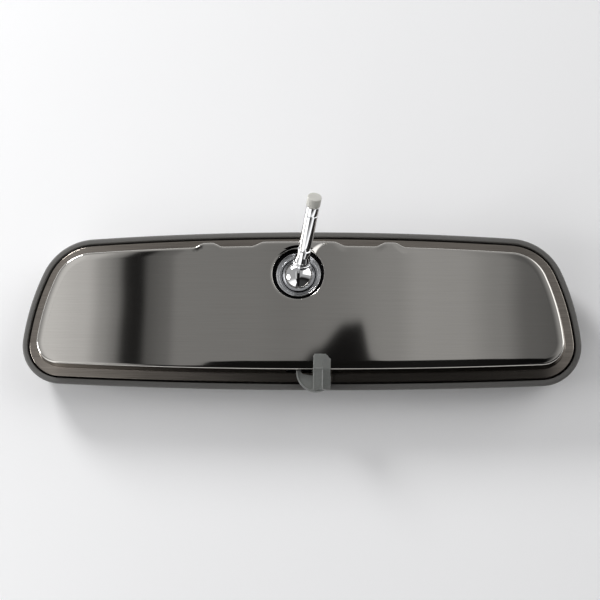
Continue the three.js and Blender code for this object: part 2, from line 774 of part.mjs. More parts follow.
function leverShaft() {
  const floor = CAM.baseY - GAP - LEVER_BRACKET.sheet;
  const c = CLIP;
  const profile = [
    [0, floor - c.end],
    [LEVER_SHAFT, floor - c.end],
    [LEVER_SHAFT, floor - c.grooveTo],
    [LEVER_SHAFT - c.groove, floor - c.grooveTo],
    [LEVER_SHAFT - c.groove, floor - c.grooveFrom],
    [LEVER_SHAFT, floor - c.grooveFrom],
    [LEVER_SHAFT, LEVER.faceY - 1],
    [0, LEVER.faceY - 1],
  ];
  return turned(profile, 16).translate(LEVER.x, 0, LEVER.z);
}

// A split ring that snaps into the shaft's groove under the bracket.
function shaftClip() {
  const floor = CAM.baseY - GAP - LEVER_BRACKET.sheet;
  const { sheet, mouth, rim, groove, grooveFrom, grooveTo } = CLIP;
  const ring = new THREE.Shape();
  const [inner, outer] = [LEVER_SHAFT - groove / 2, LEVER_SHAFT + rim];
  ring.absarc(0, 0, outer, rad(mouth), rad(360 - mouth), false);
  ring.absarc(0, 0, inner, rad(360 - mouth), rad(mouth), true);
  const middle = floor - (grooveFrom + grooveTo) / 2;
  return slab(ring, middle + sheet / 2, middle - sheet / 2).translate(LEVER.x, 0, LEVER.z);
}

add(head, "day_night_lever", dayNightLever(), nylon);
add(head, "lever_cam", leverCam(), acetal);
add(head, "lever_shaft", leverShaft(), zincPlated);
add(head, "shaft_clip", shaftClip(), springSteel);

export default mirror;
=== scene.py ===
# %% [markdown]
# # An interior rearview mirror
#
# This is the wide day and night mirror that hangs in a car. A pressed stainless back is held in a grey vinyl
# bezel with a prismatic glass. A ball on a chrome stem carries it, and a nylon lever under the step rocks the
# whole head between its day and night settings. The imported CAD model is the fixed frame: it says where every
# piece sits and what moves. This notebook makes the fine surfaces around it, one piece to a cell.

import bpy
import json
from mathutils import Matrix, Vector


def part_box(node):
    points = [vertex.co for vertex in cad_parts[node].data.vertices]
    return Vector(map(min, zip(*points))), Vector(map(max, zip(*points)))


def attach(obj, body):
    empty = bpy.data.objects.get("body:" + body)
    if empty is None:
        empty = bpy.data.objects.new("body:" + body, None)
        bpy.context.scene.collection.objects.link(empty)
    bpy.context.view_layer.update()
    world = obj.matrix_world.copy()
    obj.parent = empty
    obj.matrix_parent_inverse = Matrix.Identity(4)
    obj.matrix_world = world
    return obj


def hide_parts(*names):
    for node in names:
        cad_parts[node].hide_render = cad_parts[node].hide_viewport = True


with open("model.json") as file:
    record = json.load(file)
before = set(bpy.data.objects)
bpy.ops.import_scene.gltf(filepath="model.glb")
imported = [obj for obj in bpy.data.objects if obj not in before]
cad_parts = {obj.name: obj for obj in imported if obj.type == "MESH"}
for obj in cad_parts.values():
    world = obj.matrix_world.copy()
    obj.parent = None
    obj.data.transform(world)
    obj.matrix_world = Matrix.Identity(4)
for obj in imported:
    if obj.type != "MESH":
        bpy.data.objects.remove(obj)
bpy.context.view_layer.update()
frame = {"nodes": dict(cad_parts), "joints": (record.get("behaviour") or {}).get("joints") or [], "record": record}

# %% The tools
import json
from math import acos, atan2, cos, hypot, pi, radians, sin, tan

import bmesh
import bpy
from mathutils import Matrix, Quaternion, Vector
from mathutils.geometry import delaunay_2d_cdt

# %% [markdown]
# ## Where things are
#
# Every size below is in millimetres and measured from the middle of the ball, because the stem, the socket
# and the head are all drawn about that point. The frame's own origin is the end of the stem, so one matrix
# carries finished points from the ball's frame to the frame in metres. A second one also turns +Y onto the
# stem.

# %% Units and the two places where pieces are drawn
MM = 0.001
joints = {joint["name"]: joint for joint in frame["joints"]}
BALL = Vector(joints["ball_tilt"]["pos_m"])
STEM_AXIS = Vector(frame["record"]["mounts"][0]["axis"]).normalized()
AT_HEAD = Matrix.Translation(BALL) @ Matrix.Scale(MM, 4)
TURN = Vector((0, 1, 0)).rotation_difference(STEM_AXIS).to_matrix().to_4x4()
AT_STEM = Matrix.Translation(BALL) @ TURN @ Matrix.Scale(MM, 4)
print("ball middle", tuple(BALL), "stem axis", tuple(round(v, 3) for v in STEM_AXIS))


def head_box(node):
    """A CAD node's lowest and highest corners, in millimetres from the ball's middle."""
    low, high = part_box(node)
    return (low - BALL) / MM, (high - BALL) / MM


# %% [markdown]
# ## Small helpers
#
# Colours are written as the hex values that a paint chart would give, so one function turns them into the
# linear values that shaders use. One more function adds any node, sets its properties and joins its inputs,
# which keeps each material and each tree to a short list.

# %% Colours and nodes
def linear(hex_colour, alpha=1.0):
    """An sRGB hex colour as the linear RGBA that Blender's shaders read."""
    channels = [int(hex_colour[i : i + 2], 16) / 255 for i in (0, 2, 4)]
    return [c / 12.92 if c <= 0.04045 else ((c + 0.055) / 1.055) ** 2.4 for c in channels] + [alpha]


def add(tree, kind, inputs=None, **settings):
    """Adds a node to a tree; an input is either a plain value or a socket to link from."""
    made = tree.nodes.new(kind)
    for name, value in settings.items():
        setattr(made, name, value)
    for key, value in (inputs or {}).items():
        if isinstance(value, bpy.types.NodeSocket):
            tree.links.new(value, made.inputs[key])
        else:
            made.inputs[key].default_value = value
    return made


def ramp(tree, factor, stops, interpolation="LINEAR"):
    """A colour ramp through (position, value) or (position, colour) stops."""
    made = add(tree, "ShaderNodeValToRGB", {"Fac": factor})
    made.color_ramp.interpolation = interpolation
    elements = made.color_ramp.elements
    while len(elements) < len(stops):
        elements.new(0.5)
    for element, (position, value) in zip(elements, stops):
        element.position = position
        element.color = value if isinstance(value, list) else (value, value, value, 1)
    return made.outputs["Color"]


print("helpers ready")

# %% [markdown]
# ## Camera
#
# The head is seen from behind, a little from below and from its left-hand end, through a short telephoto
# lens that keeps the long outline almost free of perspective. Every place follows from the bezel's middle.

# %% Camera
# Lengths are in millimetres and angles in degrees; "aim" is how far behind the ball the camera looks.
CAMERA = {
    "distance": 650, "below": 12.6, "aside": 4.2, "roll": 1.0, "lens": 86, "shift": (0.0030, 0.0140),
    "aim": 2, "clip": (0.01, 20),
}
bezel_low, bezel_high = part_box("bezel")
head_middle = (bezel_low + bezel_high) / 2
head_middle.y = BALL.y + CAMERA["aim"] * MM


def camera_direction(aside, below):
    """A unit vector from the head to a camera behind it."""
    a, b = radians(aside), radians(below)
    return Vector((-sin(a) * cos(b), cos(a) * cos(b), -sin(b)))


camera_data = bpy.data.cameras.new("camera")
camera_data.lens = CAMERA["lens"]
camera_data.clip_start, camera_data.clip_end = CAMERA["clip"]
camera = bpy.data.objects.new("camera", camera_data)
bpy.context.scene.collection.objects.link(camera)
outward = camera_direction(CAMERA["aside"], CAMERA["below"])
camera.location = head_middle + outward * CAMERA["distance"] * MM
camera.rotation_mode = "QUATERNION"
roll = Quaternion((0, 0, 1), radians(CAMERA["roll"]))
camera.rotation_quaternion = (-outward).to_track_quat("-Z", "Y") @ roll
camera_data.shift_x, camera_data.shift_y = CAMERA["shift"]
bpy.context.scene.camera = camera
print("camera at", tuple(round(v, 3) for v in camera.location))

# %% [markdown]
# ## Studio
#
# Polished metal shows the room, so the room is most of this object's look. A world shader paints it: pale
# all round, with soft upright bands behind the camera, like windows, walls and a dark figure in a flat plate.
# Direction alone drives it, so it stands still however the head or the camera moves.

# %% Studio room
# Ranges in x, y and z are of the unit direction looked in. Those named "rise" and "skyline" are tangents of
# elevations, and "span" gives the tangents of the two azimuths that the bands run between.
ROOM = {
    "pale": 0.40, "paper": 1.05,
    # A bright floor, straight below.
    "floor": 1.5, "turn": (-0.75, -0.35),
    # The banded stretch behind the camera: where its top and its two sides fade, and its dark figure.
    "span": (-0.1145, 0.2855), "top": (0.34, 0.50), "fade": 0.1,
    "skyline": (-0.5, 0.225), "figure": 0.03, "figure_edge": (-0.003, 0.006),
    # A dark lobe, low beside the bands on the camera's side of the room.
    "dark": 0.03, "dark_x": (0.09, 0.16), "dark_z": (-0.10, -0.35), "lean": (0.7, 0.8), "front": (-0.2, 0.1),
    # A bright window, level and to the -X side.
    "window": (-0.38, -0.60), "window_glow": 5.0, "window_z": (0.02, 0.15),
}
# Stops are (place, radiance); places run along the horizon behind the camera, from the right of the view.
BANDS = [
    (0.00, 0.13), (0.06, 0.16), (0.11, 0.30), (0.18, 0.41), (0.25, 0.42), (0.30, 0.34), (0.42, 0.26),
    (0.49, 0.24), (0.56, 0.26), (0.69, 0.27), (0.705, 0.18), (0.742, 0.13), (0.757, 0.012), (0.785, 0.018),
    (0.805, 0.26), (0.825, 0.38), (0.86, 0.66), (0.93, 0.80),
]
# The dark figure's height at each place, as a share of ROOM["skyline"].
SKYLINE = [
    (0.00, 0.88), (0.08, 0.91), (0.14, 0.928), (0.31, 0.930), (0.338, 0.945), (0.358, 0.984), (0.383, 0.982),
    (0.438, 0.955), (0.468, 0.940), (0.56, 0.928), (0.62, 0.90), (0.68, 0.5), (0.74, 0.0),
]


# Name, place and diameter in millimetres, and power in watts.
SOFTBOXES = [
    ("key_softbox", (900, 700, 1200), 500, 18),
    ("window_softbox", (900, 300, -100), 400, 4),
]


def map_range(tree, value, source, target=(0, 1), smooth=True):
    """Carries a value from one range to another, clamped, with soft ends unless told otherwise."""
    kind = "SMOOTHSTEP" if smooth else "LINEAR"
    inputs = {0: value, 1: source[0], 2: source[1], 3: target[0], 4: target[1]}
    return add(tree, "ShaderNodeMapRange", inputs, interpolation_type=kind).outputs[0]


def calculate(tree, operation, first, second=0.0):
    """One sum on two values or sockets."""
    return add(tree, "ShaderNodeMath", {0: first, 1: second}, operation=operation).outputs[0]


def studio_room():
    """The world shader: a glow from each direction, the banded stretch over it, and paper for the camera."""
    world = bpy.data.worlds.new("studio_room")
    world.use_nodes = True
    tree = world.node_tree
    tree.nodes.clear()
    way = add(tree, "ShaderNodeSeparateXYZ", {0: add(tree, "ShaderNodeTexCoord").outputs["Generated"]})
    behind = calculate(tree, "MAXIMUM", way.outputs[1], 0.001)
    aside = calculate(tree, "DIVIDE", way.outputs[0], behind)
    rise = calculate(tree, "DIVIDE", way.outputs[2], behind)
    place = map_range(tree, aside, ROOM["span"], smooth=False)
    bands = ramp(tree, place, BANDS, "EASE")
    height = map_range(tree, ramp(tree, place, SKYLINE, "EASE"), (0, 1), ROOM["skyline"], smooth=False)
    over = calculate(tree, "SUBTRACT", rise, height)
    seen_over = map_range(tree, over, ROOM["figure_edge"], (ROOM["figure"], 1))
    wall = calculate(tree, "MULTIPLY", bands, seen_over)
    right, left = ROOM["span"]
    within = map_range(tree, rise, ROOM["top"], (1, 0))
    edge = map_range(tree, aside, (left, left + ROOM["fade"]), (1, 0))
    within = calculate(tree, "MULTIPLY", within, edge)
    edge = map_range(tree, aside, (right - ROOM["fade"], right))
    within = calculate(tree, "MULTIPLY", within, edge)
    glow = map_range(tree, way.outputs[2], ROOM["turn"], (ROOM["floor"], ROOM["pale"]))
    beside = map_range(tree, way.outputs[0], ROOM["window"], (1, ROOM["window_glow"]))
    above = map_range(tree, way.outputs[2], ROOM["window_z"])
    inputs = {"Factor": above, "A": 1.0, "B": beside}
    beside = add(tree, "ShaderNodeMix", inputs, data_type="FLOAT").outputs["Result"]
    glow = calculate(tree, "MULTIPLY", glow, beside)
    lean = calculate(tree, "ADD", way.outputs[2], ROOM["lean"][0])
    lean = calculate(tree, "MULTIPLY", lean, ROOM["lean"][1])
    side = map_range(tree, calculate(tree, "ADD", way.outputs[0], lean), ROOM["dark_x"], (1, 0))
    low = map_range(tree, way.outputs[2], ROOM["dark_z"])
    shade = calculate(tree, "MULTIPLY", side, low)
    shade = calculate(tree, "MULTIPLY", shade, map_range(tree, way.outputs[1], ROOM["front"]))
    shade = map_range(tree, shade, (0, 1), (1, ROOM["dark"]), smooth=False)
    glow = calculate(tree, "MULTIPLY", glow, shade)
    inputs = {"Factor": within, "A": glow, "B": wall}
    room = add(tree, "ShaderNodeMix", inputs, data_type="FLOAT").outputs["Result"]
    seen = add(tree, "ShaderNodeLightPath").outputs["Is Camera Ray"]
    inputs = {"Factor": seen, "A": room, "B": ROOM["paper"]}
    mixed = add(tree, "ShaderNodeMix", inputs, data_type="FLOAT").outputs["Result"]
    sky = add(tree, "ShaderNodeBackground", {"Color": mixed, "Strength": 1.0})
    add(tree, "ShaderNodeOutputWorld", {"Surface": sky.outputs[0]})
    bpy.context.scene.world = world


def softbox(name, place, size, watts, target=(0, 0, 0)):
    """A round area light at a place in millimetres from the ball, aimed at a target."""
    data = bpy.data.lights.new(name, "AREA")
    data.shape, data.size, data.energy = "DISK", size * MM, watts
    lamp = bpy.data.objects.new(name, data)
    lamp.location = AT_HEAD @ Vector(place)
    lamp.rotation_mode = "QUATERNION"
    lamp.rotation_quaternion = (Vector(target) - Vector(place)).to_track_quat("-Z", "Y")
    bpy.context.scene.collection.objects.link(lamp)
    return lamp


studio_room()
for name, place, size, watts in SOFTBOXES:
    softbox(name, place, size, watts)
bpy.context.scene.view_settings.view_transform = "Standard"
print("room and softboxes ready")

# %% [markdown]
# ## The head's outline
#
# The press tool, the bezel mould and the glass all follow one outline: a run of arcs that meet without a
# kink. Offsetting such a line inwards only shortens its radii, so one function draws it at any inset, and
# rings drawn with the same steps can be joined into a clean skin of four-sided faces.

# %% Outline of the head
OUTLINE = {
    "bottom_run": 109.4, "bottom_turn": 2.5, "lower_corner": 18.4, "side_lean": 95.3, "side": 107.5,
    "shoulder_lean": 113, "upper_corner": 26, "top_turn": 3.85,
}
SWELL = {
    "raise": 2.0, "hinge_x": 41.7, "hinge_crest": 2.0, "hinge_foot": 6.9,
    "middle_crest": 15.8, "middle_foot": 21.7, "reach": 60,
}
# Steps that each arc is drawn with.
STEPS = {"bottom": 24, "lower": 22, "side": 14, "upper": 20, "top": 64}
OUTLINE_TOP = head_box("bezel")[1].z


def arc_to(points, radius, start, end, steps):
    """Adds an arc; start and end are the headings of the pen, in degrees from +X."""
    x, z = points[-1]
    first = radians(start)
    for i in range(1, steps + 1):
        heading = radians(start + (end - start) * i / steps)
        points.append((x + radius * (sin(heading) - sin(first)), z + radius * (cos(first) - cos(heading))))


def half_outline(inset):
    """The right-hand half of the outline, from the middle of the bottom to the middle of the top."""
    o = OUTLINE
    points = [(0.0, inset)]
    bottom_radius = o["bottom_run"] / sin(radians(o["bottom_turn"]))
    arc_to(points, bottom_radius - inset, 0, o["bottom_turn"], STEPS["bottom"])
    arc_to(points, o["lower_corner"] - inset, o["bottom_turn"], o["side_lean"], STEPS["lower"])
    arc_to(points, o["side"] - inset, o["side_lean"], o["shoulder_lean"], STEPS["side"])
    arc_to(points, o["upper_corner"] - inset, o["shoulder_lean"], 180 - o["top_turn"], STEPS["upper"])
    top_radius = points[-1][0] / sin(radians(o["top_turn"]))
    arc_to(points, top_radius, 180 - o["top_turn"], 180, STEPS["top"])
    return points


HEAD_HEIGHT = half_outline(0)[-1][1]
HEAD_BOTTOM = OUTLINE_TOP - HEAD_HEIGHT


def limited(value):
    """A value held between 0 and 1."""
    return min(1.0, max(0.0, value))


def swell(x):
    """How far the step swells outwards at x along the top edge, from 0 to 1, with soft shoulders."""
    def ramp_up(foot, crest, distance):
        t = limited((foot - distance) / (foot - crest))
        return t * t * (3 - 2 * t)

    hinge = ramp_up(SWELL["hinge_foot"], SWELL["hinge_crest"], abs(abs(x) - SWELL["hinge_x"]))
    return max(hinge, ramp_up(SWELL["middle_foot"], SWELL["middle_crest"], abs(x)))


def outline(inset, lift=0.0):
    """The closed outline as (x, z) points; lift raises the swells of the top edge."""
    half = [(x, z + HEAD_BOTTOM) for x, z in half_outline(inset)]
    if lift:
        half = [(x, z + lift * swell(x)) if z > 0 and abs(x) < SWELL["reach"] else (x, z) for x, z in half]
    return half + [(-x, z) for x, z in half[-2:0:-1]]


print("head height", round(HEAD_HEIGHT, 2), "points in a ring", len(outline(0)))

# %% [markdown]
# ## Table top
#
# The head lies on its glass, so the table top is a plane just in front of the bezel, parallel to the head.
# It rides on the case, so that it stays under the head when a joint moves. It is one-way and open under the
# glass: from behind it is clear and the glass still sees the room, so the glass side can be looked at too.

# %% Table top
# "wide" and "tall" are how many times the head's outline is spread to reach the far edges.
TABLE = {"wide": 25, "tall": 100, "below": -170, "gap": 0.4, "opening": 7, "colours": ("f4f4f5", "f7f7f8")}


def one_way_white():
    """White laminate from the front and nothing from behind."""
    material = bpy.data.materials.new("white_laminate_one_way")
    material.use_nodes = True
    tree = material.node_tree
    tree.nodes.clear()
    side = add(tree, "ShaderNodeNewGeometry")
    place = add(tree, "ShaderNodeTexCoord")
    mottle = add(tree, "ShaderNodeTexNoise", {"Vector": place.outputs["Object"], "Scale": 3.0})
    dull, clean = (linear(colour) for colour in TABLE["colours"])
    tone = ramp(tree, mottle.outputs["Fac"], [(0.3, dull), (0.7, clean)])
    white = add(tree, "ShaderNodeBsdfDiffuse", {"Color": tone})
    clear = add(tree, "ShaderNodeBsdfTransparent")
    inputs = {0: side.outputs["Backfacing"], 1: white.outputs[0], 2: clear.outputs[0]}
    both = add(tree, "ShaderNodeMixShader", inputs)
    add(tree, "ShaderNodeOutputMaterial", {"Surface": both.outputs[0]})
    return material


def table_top():
    """One ring of faces from just inside the bezel's edge out to the far edges of the table."""
    y = head_box("bezel")[0].y - TABLE["gap"]
    near = outline(TABLE["opening"])
    far = [(x * TABLE["wide"], max(z * TABLE["tall"], TABLE["below"])) for x, z in near]
    count = len(near)
    faces = [(i, (i + 1) % count, count + (i + 1) % count, count + i) for i in range(count)]
    mesh = bpy.data.meshes.new("table_top")
    mesh.from_pydata([AT_HEAD @ Vector((x, y, z)) for x, z in near + far], [], faces)
    mesh.materials.append(one_way_white())
    table = bpy.data.objects.new("table_top", mesh)
    bpy.context.scene.collection.objects.link(table)
    return table


table = table_top()
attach(table, "case")
print("table top faces", tuple(round(v, 2) for v in table.data.polygons[0].normal))

# %% [markdown]
# ## Skins and sections
#
# Most pieces are rings joined into a skin. A section is a line of corners, each with the radius that the
# press or the mould gives it, and `rounded` replaces each corner by its arc.

# %% Rounded sections and skins
def rounded(corners, steps=6):
    """A line through (u, v, radius) corners, with each corner drawn as an arc."""
    line = [Vector(corners[0][:2])]
    for before, here, after in zip(corners, corners[1:], corners[2:]):
        corner, radius = Vector(here[:2]), here[2]
        back = (Vector(before[:2]) - corner).normalized()
        ahead = (Vector(after[:2]) - corner).normalized()
        if not radius or back.dot(ahead) < -0.9999:
            line.append(corner)
            continue
        half = back.angle(ahead) / 2
        centre = corner + (back + ahead).normalized() * (radius / sin(half))
        start, end = (corner + way * (radius / tan(half)) - centre for way in (back, ahead))
        first = atan2(start.y, start.x)
        turn = (atan2(end.y, end.x) - first + pi) % (2 * pi) - pi
        for i in range(steps + 1):
            angle = first + turn * i / steps
            line.append(centre + Vector((cos(angle), sin(angle))) * radius)
    return line + [Vector(corners[-1][:2])]


def skin(rings):
    """A bmesh of four-sided faces between closed rings of points."""
    made = bmesh.new()
    rows = [[made.verts.new(point) for point in ring] for ring in rings]
    for row, following in zip(rows, rows[1:]):
        for i in range(len(row)):
            j = (i + 1) % len(row)
            made.faces.new((row[i], row[j], following[j], following[i]))
    return made


def piece(name, made, place, material, smooth_under=40):
    """Turns a bmesh drawn in millimetres into a finished object, with its faces pointing out."""
    bmesh.ops.remove_doubles(made, verts=made.verts, dist=0.0005)
    made.transform(place)
    bmesh.ops.recalc_face_normals(made, faces=made.faces)
    mesh = bpy.data.meshes.new(name)
    made.to_mesh(mesh)
    made.free()
    for face in mesh.polygons:
        face.use_smooth = True
    mesh.set_sharp_from_angle(angle=radians(smooth_under))
    mesh.materials.append(material)
    thing = bpy.data.objects.new(name, mesh)
    bpy.context.scene.collection.objects.link(thing)
    return thing


def lathe(section, segments=72):
    """A skin turned about +Y from (radius, y) points; an end on the axis is closed by its pole."""
    rings = []
    for radius, y in section:
        reach = max(radius, 1e-5)
        turn = [2 * pi * i / segments for i in range(segments)]
        rings.append([Vector((reach * cos(a), y, reach * sin(a))) for a in turn])
    made = skin(rings)
    bmesh.ops.remove_doubles(made, verts=made.verts, dist=0.0001)
    return made


def finish_modifiers(thing):
    """Bakes an object's modifiers into its mesh."""
    bpy.context.view_layer.update()
    evaluated = thing.evaluated_get(bpy.context.evaluated_depsgraph_get())
    mesh = bpy.data.meshes.new_from_object(evaluated)
    thing.modifiers.clear()
    thing.data = mesh


def report(thing):
    """Prints a piece's triangles and its size."""
    faces = sum(len(p.vertices) - 2 for p in thing.data.polygons)
    size = (Vector(thing.bound_box[6]) - Vector(thing.bound_box[0])) / MM
    print(f"{thing.name}: {faces} triangles, {size.x:.1f} x {size.y:.1f} x {size.z:.1f} mm")


print("shape helpers ready")

# %% [markdown]
# ## Materials
#
# Each material is named for the real stuff and the process that finishes it. All of them read Object
# coordinates in metres, so noise scales are counts per metre: 400 puts a feature about every 2.5 mm.

# %% Material tools
def new_material(name, note, **settings):
    """A Principled material; note says what the finish is. Returns the material, its tree and its shader."""
    material = bpy.data.materials.new(name)
    material.use_nodes = True
    material["finish"] = note
    tree = material.node_tree
    shader = tree.nodes["Principled BSDF"]
    for key, value in settings.items():
        shader.inputs[key.replace("_", " ")].default_value = value
    return material, tree, shader


def noise(tree, scale, stretch=(1, 1, 1), detail=2.0, roughness=0.5):
    """Noise on Object coordinates; stretch multiplies each axis first, to draw the grain out."""
    place = add(tree, "ShaderNodeTexCoord").outputs["Object"]
    moved = add(tree, "ShaderNodeMapping", {"Vector": place, "Scale": stretch})
    inputs = {"Vector": moved.outputs[0], "Scale": scale, "Detail": detail, "Roughness": roughness}
    return add(tree, "ShaderNodeTexNoise", inputs).outputs["Fac"]


def vary(tree, shader, key, factor, low, high):
    """Joins a shader input to a ramp between two values or colours."""
    tree.links.new(ramp(tree, factor, [(0.25, low), (0.75, high)]), shader.inputs[key])


def bump(tree, shader, factor, height_mm, strength=1.0):
    inputs = {"Height": factor, "Distance": height_mm * MM, "Strength": strength}
    tree.links.new(add(tree, "ShaderNodeBump", inputs).outputs[0], shader.inputs["Normal"])


def height_over_ball(tree):
    """How far a point lies along +Y from the middle of the ball, in millimetres."""
    place = add(tree, "ShaderNodeTexCoord").outputs["Object"]
    along = add(tree, "ShaderNodeSeparateXYZ", {0: place}).outputs["Y"]
    return calculate(tree, "DIVIDE", calculate(tree, "SUBTRACT", along, BALL.y), MM)


print("material tools ready")

# %% [markdown]
# The pressed back is bright-annealed stainless steel. Its plateau and wall are buffed almost to a mirror. The
# flange keeps the brushed grain of the strip, and a thin step of roughness between them follows the depth.

# %% Metal finishes
# Heights in millimetres along Y from the ball's middle: where the flange's grain gives way to the buffed
# wall, and where the painted shade on the ring's flange and lower cone gives way to its plated rim.
STEEL = {
    "raised": (-0.7, 0.6), "rough": (0.16, 0.035), "flange": ("8d867f", "a39c94"), "buffed": ("cac7c2", "cecbc6"),
}
PAINTED_SHADE_FADE = (2.0, 2.6)


def two_tones(tree, factor, colours):
    """A ramp between two colours, held flat at both ends."""
    return ramp(tree, factor, [(at, linear(colour)) for at, colour in zip((0.3, 0.7), colours)])


def polished_stainless():
    # Bright-annealed 304 strip, deep drawn and buffed; the flange keeps its brushed strip grain.
    material, tree, shader = new_material("buffed_stainless_pressing", "deep drawn, buffed", Metallic=1.0)
    raised = map_range(tree, height_over_ball(tree), STEEL["raised"])
    strip = noise(tree, 60, (1, 1, 40), 3.0)
    flange = two_tones(tree, strip, STEEL["flange"])
    plain = noise(tree, 40, (1, 1, 60), 2.0)
    buffed = two_tones(tree, plain, STEEL["buffed"])
    mixed = add(tree, "ShaderNodeMix", {"Factor": raised, 6: flange, 7: buffed}, data_type="RGBA")
    tree.links.new(mixed.outputs[2], shader.inputs["Base Color"])
    rough = ramp(tree, raised, list(zip((0.0, 1.0), STEEL["rough"])))
    tree.links.new(rough, shader.inputs["Roughness"])
    bump(tree, shader, noise(tree, 18, (1, 1, 1), 0.0), 0.015)
    return material


def bright_metal(name, note, low, high, rough, scale=120.0, ripple=0.0):
    """A plated finish, or a near black one painted as shade; ripple is the height of its surface in millimetres.
    """
    material, tree, shader = new_material(name, note, Metallic=1.0)
    grain = noise(tree, scale)
    vary(tree, shader, "Base Color", grain, linear(low), linear(high))
    vary(tree, shader, "Roughness", grain, rough * 0.85, rough * 1.15)
    if ripple:
        bump(tree, shader, noise(tree, scale * 6, (1, 1, 1), 3.0), ripple)
    return material


def ring_chrome_with_painted_shade():
    # Plated rim; below it the flange and the cone by the ball are painted near black, as painted shade of the gap
    # round the ball.
    name = "bright_chrome_ring_with_painted_shade"
    material, tree, shader = new_material(name, "chrome plate with painted shade", Metallic=1.0)
    plated = map_range(tree, height_over_ball(tree), PAINTED_SHADE_FADE)
    tone = ramp(tree, plated, [(0.0, linear("17171a")), (1.0, linear("dcdddf"))])
    tree.links.new(tone, shader.inputs["Base Color"])
    vary(tree, shader, "Roughness", noise(tree, 300), 0.08, 0.12)
    return material


# Nickel and chrome on turned steel, buffed before it is plated.
CHROME = bright_metal("bright_chrome_on_turned_steel", "bright chrome plate", "e6e7e9", "eeeeef", 0.04)
# A rolled and plated retaining ring, as bright as the ball but a little softer, with painted shade low down.
RING_CHROME_WITH_PAINTED_SHADE = ring_chrome_with_painted_shade()
STAINLESS = polished_stainless()
# Die and sheet parts inside the head, zinc plated and blue passivated.
ZINC = bright_metal(
    "blue_passivated_zinc_on_pressed_steel", "zinc plate", "8f959b", "a7acb2", 0.36, 300, 0.01,
)
RIVET_ZINC = bright_metal("zinc_on_cold_headed_steel", "zinc plate", "9aa0a6", "b4b8bd", 0.3, 500, 0.006)
SPRING_STEEL = bright_metal("blued_spring_steel_strip", "tempered blue", "3f454e", "565d66", 0.32, 400, 0.004)
# Silver laid wet on the back of the glass, seen as the mirror itself.
SILVER = bright_metal("wet_deposited_silver", "silvered", "eceded", "f2f3f3", 0.015, 40)
print("metals:", [m.name for m in bpy.data.materials if "finish" in m])

# %% [markdown]
# The vinyl bezel is injection moulded with a fine matte spark finish. The lever is milky nylon, so it lets
# some light through; its faces were moulded against a fine etched tool.

# %% Plastics, rubber and glass
def plastic(name, note, low, high, rough, scale, height, **settings):
    """A moulded finish: a fine grain in colour and height, and a coarser one in roughness."""
    material, tree, shader = new_material(name, note, **settings)
    grain = noise(tree, scale, (1, 1, 1), 4.0, 0.6)
    vary(tree, shader, "Base Color", grain, linear(low), linear(high))
    vary(tree, shader, "Roughness", noise(tree, scale / 8), rough * 0.9, rough * 1.1)
    bump(tree, shader, grain, height)
    return material


# Plasticised vinyl, injection moulded in a spark-eroded tool.
VINYL = plastic("matte_moulded_grey_vinyl", "spark finish", "555452", "5f5e5c", 0.62, 2500, 0.012)
# Unfilled nylon 6, moulded against an etched tool, slightly clear.
LEVER_NYLON = plastic(
    "milky_moulded_nylon", "etched finish", "6c6e6c", "7b7d7a", 0.42, 1500, 0.01, Subsurface_Weight=0.4,
    Subsurface_Scale=0.0015, Subsurface_Radius=(1, 1, 1), Transmission_Weight=0.12, IOR=1.53,
)
# Clear nylon tube, left as the die gives it.
TIP_NYLON = plastic(
    "frosted_extruded_nylon_sleeve", "as extruded", "b4b3ad", "c2c1bb", 0.5, 1800, 0.01,
    Subsurface_Weight=0.5, Subsurface_Scale=0.0015, Subsurface_Radius=(1, 1, 1), IOR=1.53,
)
# Acetal copolymer, machined bearing grade.
ACETAL = plastic("white_moulded_acetal", "moulded", "d9d9d4", "e6e6e2", 0.38, 900, 0.006, IOR=1.48)
# Die-cut natural rubber pads.
RUBBER = plastic("black_moulded_rubber", "moulded", "1c1d1f", "2a2b2d", 0.78, 1800, 0.03)


def clear_glass():
    # Soda-lime float glass, ground to a wedge and polished.
    settings = {"IOR": 1.52, "Transmission_Weight": 1.0}
    material, tree, shader = new_material("ground_and_polished_float_glass", "polished", **settings)
    vary(tree, shader, "Base Color", noise(tree, 8), linear("eef5f1"), linear("f4f8f6"))
    shader.inputs["Roughness"].default_value = 0.0
    return material


GLASS = clear_glass()
print("plastics and glass ready")

# %% [markdown]
# ## The pressed back
#
# One sheet of 0.8 mm stainless makes the back: a skirt behind the bezel, a flat flange, a wall and the raised
# plateau. Rings of the outline follow the section from the skirt to the plateau's edge. The plateau itself is
# filled with a triangulated lattice, so that its faces stay small enough to dish very slightly, as a press
# leaves them. A solidify modifier gives the sheet its thickness and booleans cut the lever's slot.

# %% Pressed back
SHELL = {
    "sheet": 0.8, "plateau": 6, "hole": 11.8, "lip": 0.3, "lip_width": 1.6, "overlap": 0.05, "lip_steps": 96,
    "section": [
        (3.3, -10.4, 0), (3.3, -1.0, 0.45), (7.4, -1.0, 0.35), (8.3, 6.0, 1.1), (12.0, 6.0, 0),
    ],
    "swell_from": 4.2, "swell_to": 6.9,
}
# The lattice that fills the plateau: its pitch, and how far it stays from the outline and the hole.
LATTICE = {
    "pitch": 4.0, "columns": (-30, 31), "rows": (-14, 8), "row_pitch": 0.87, "first_row": 1.3, "edge": 13.8,
    "hole": 4.5,
}
# The dish near the four corners: its depth, where it starts along X, and its margins along Z.
DISH = {"depth": 0.03, "from": 70, "over": 45, "margin": 13, "fade": 12, "wave": 9, "least": 0.4}
# Openings for the lever: where its hook swings, and where its hub comes through beside the wall's foot.
CUTS = [
    {"x": (-12.4, 4.7), "y": (0.3, 3.9), "above_bottom": (4.0, 12.0)},
    {"x": (-12.4, -4.6), "y": (-2.4, 1.0), "above_bottom": (7.9, 12.0)},
]


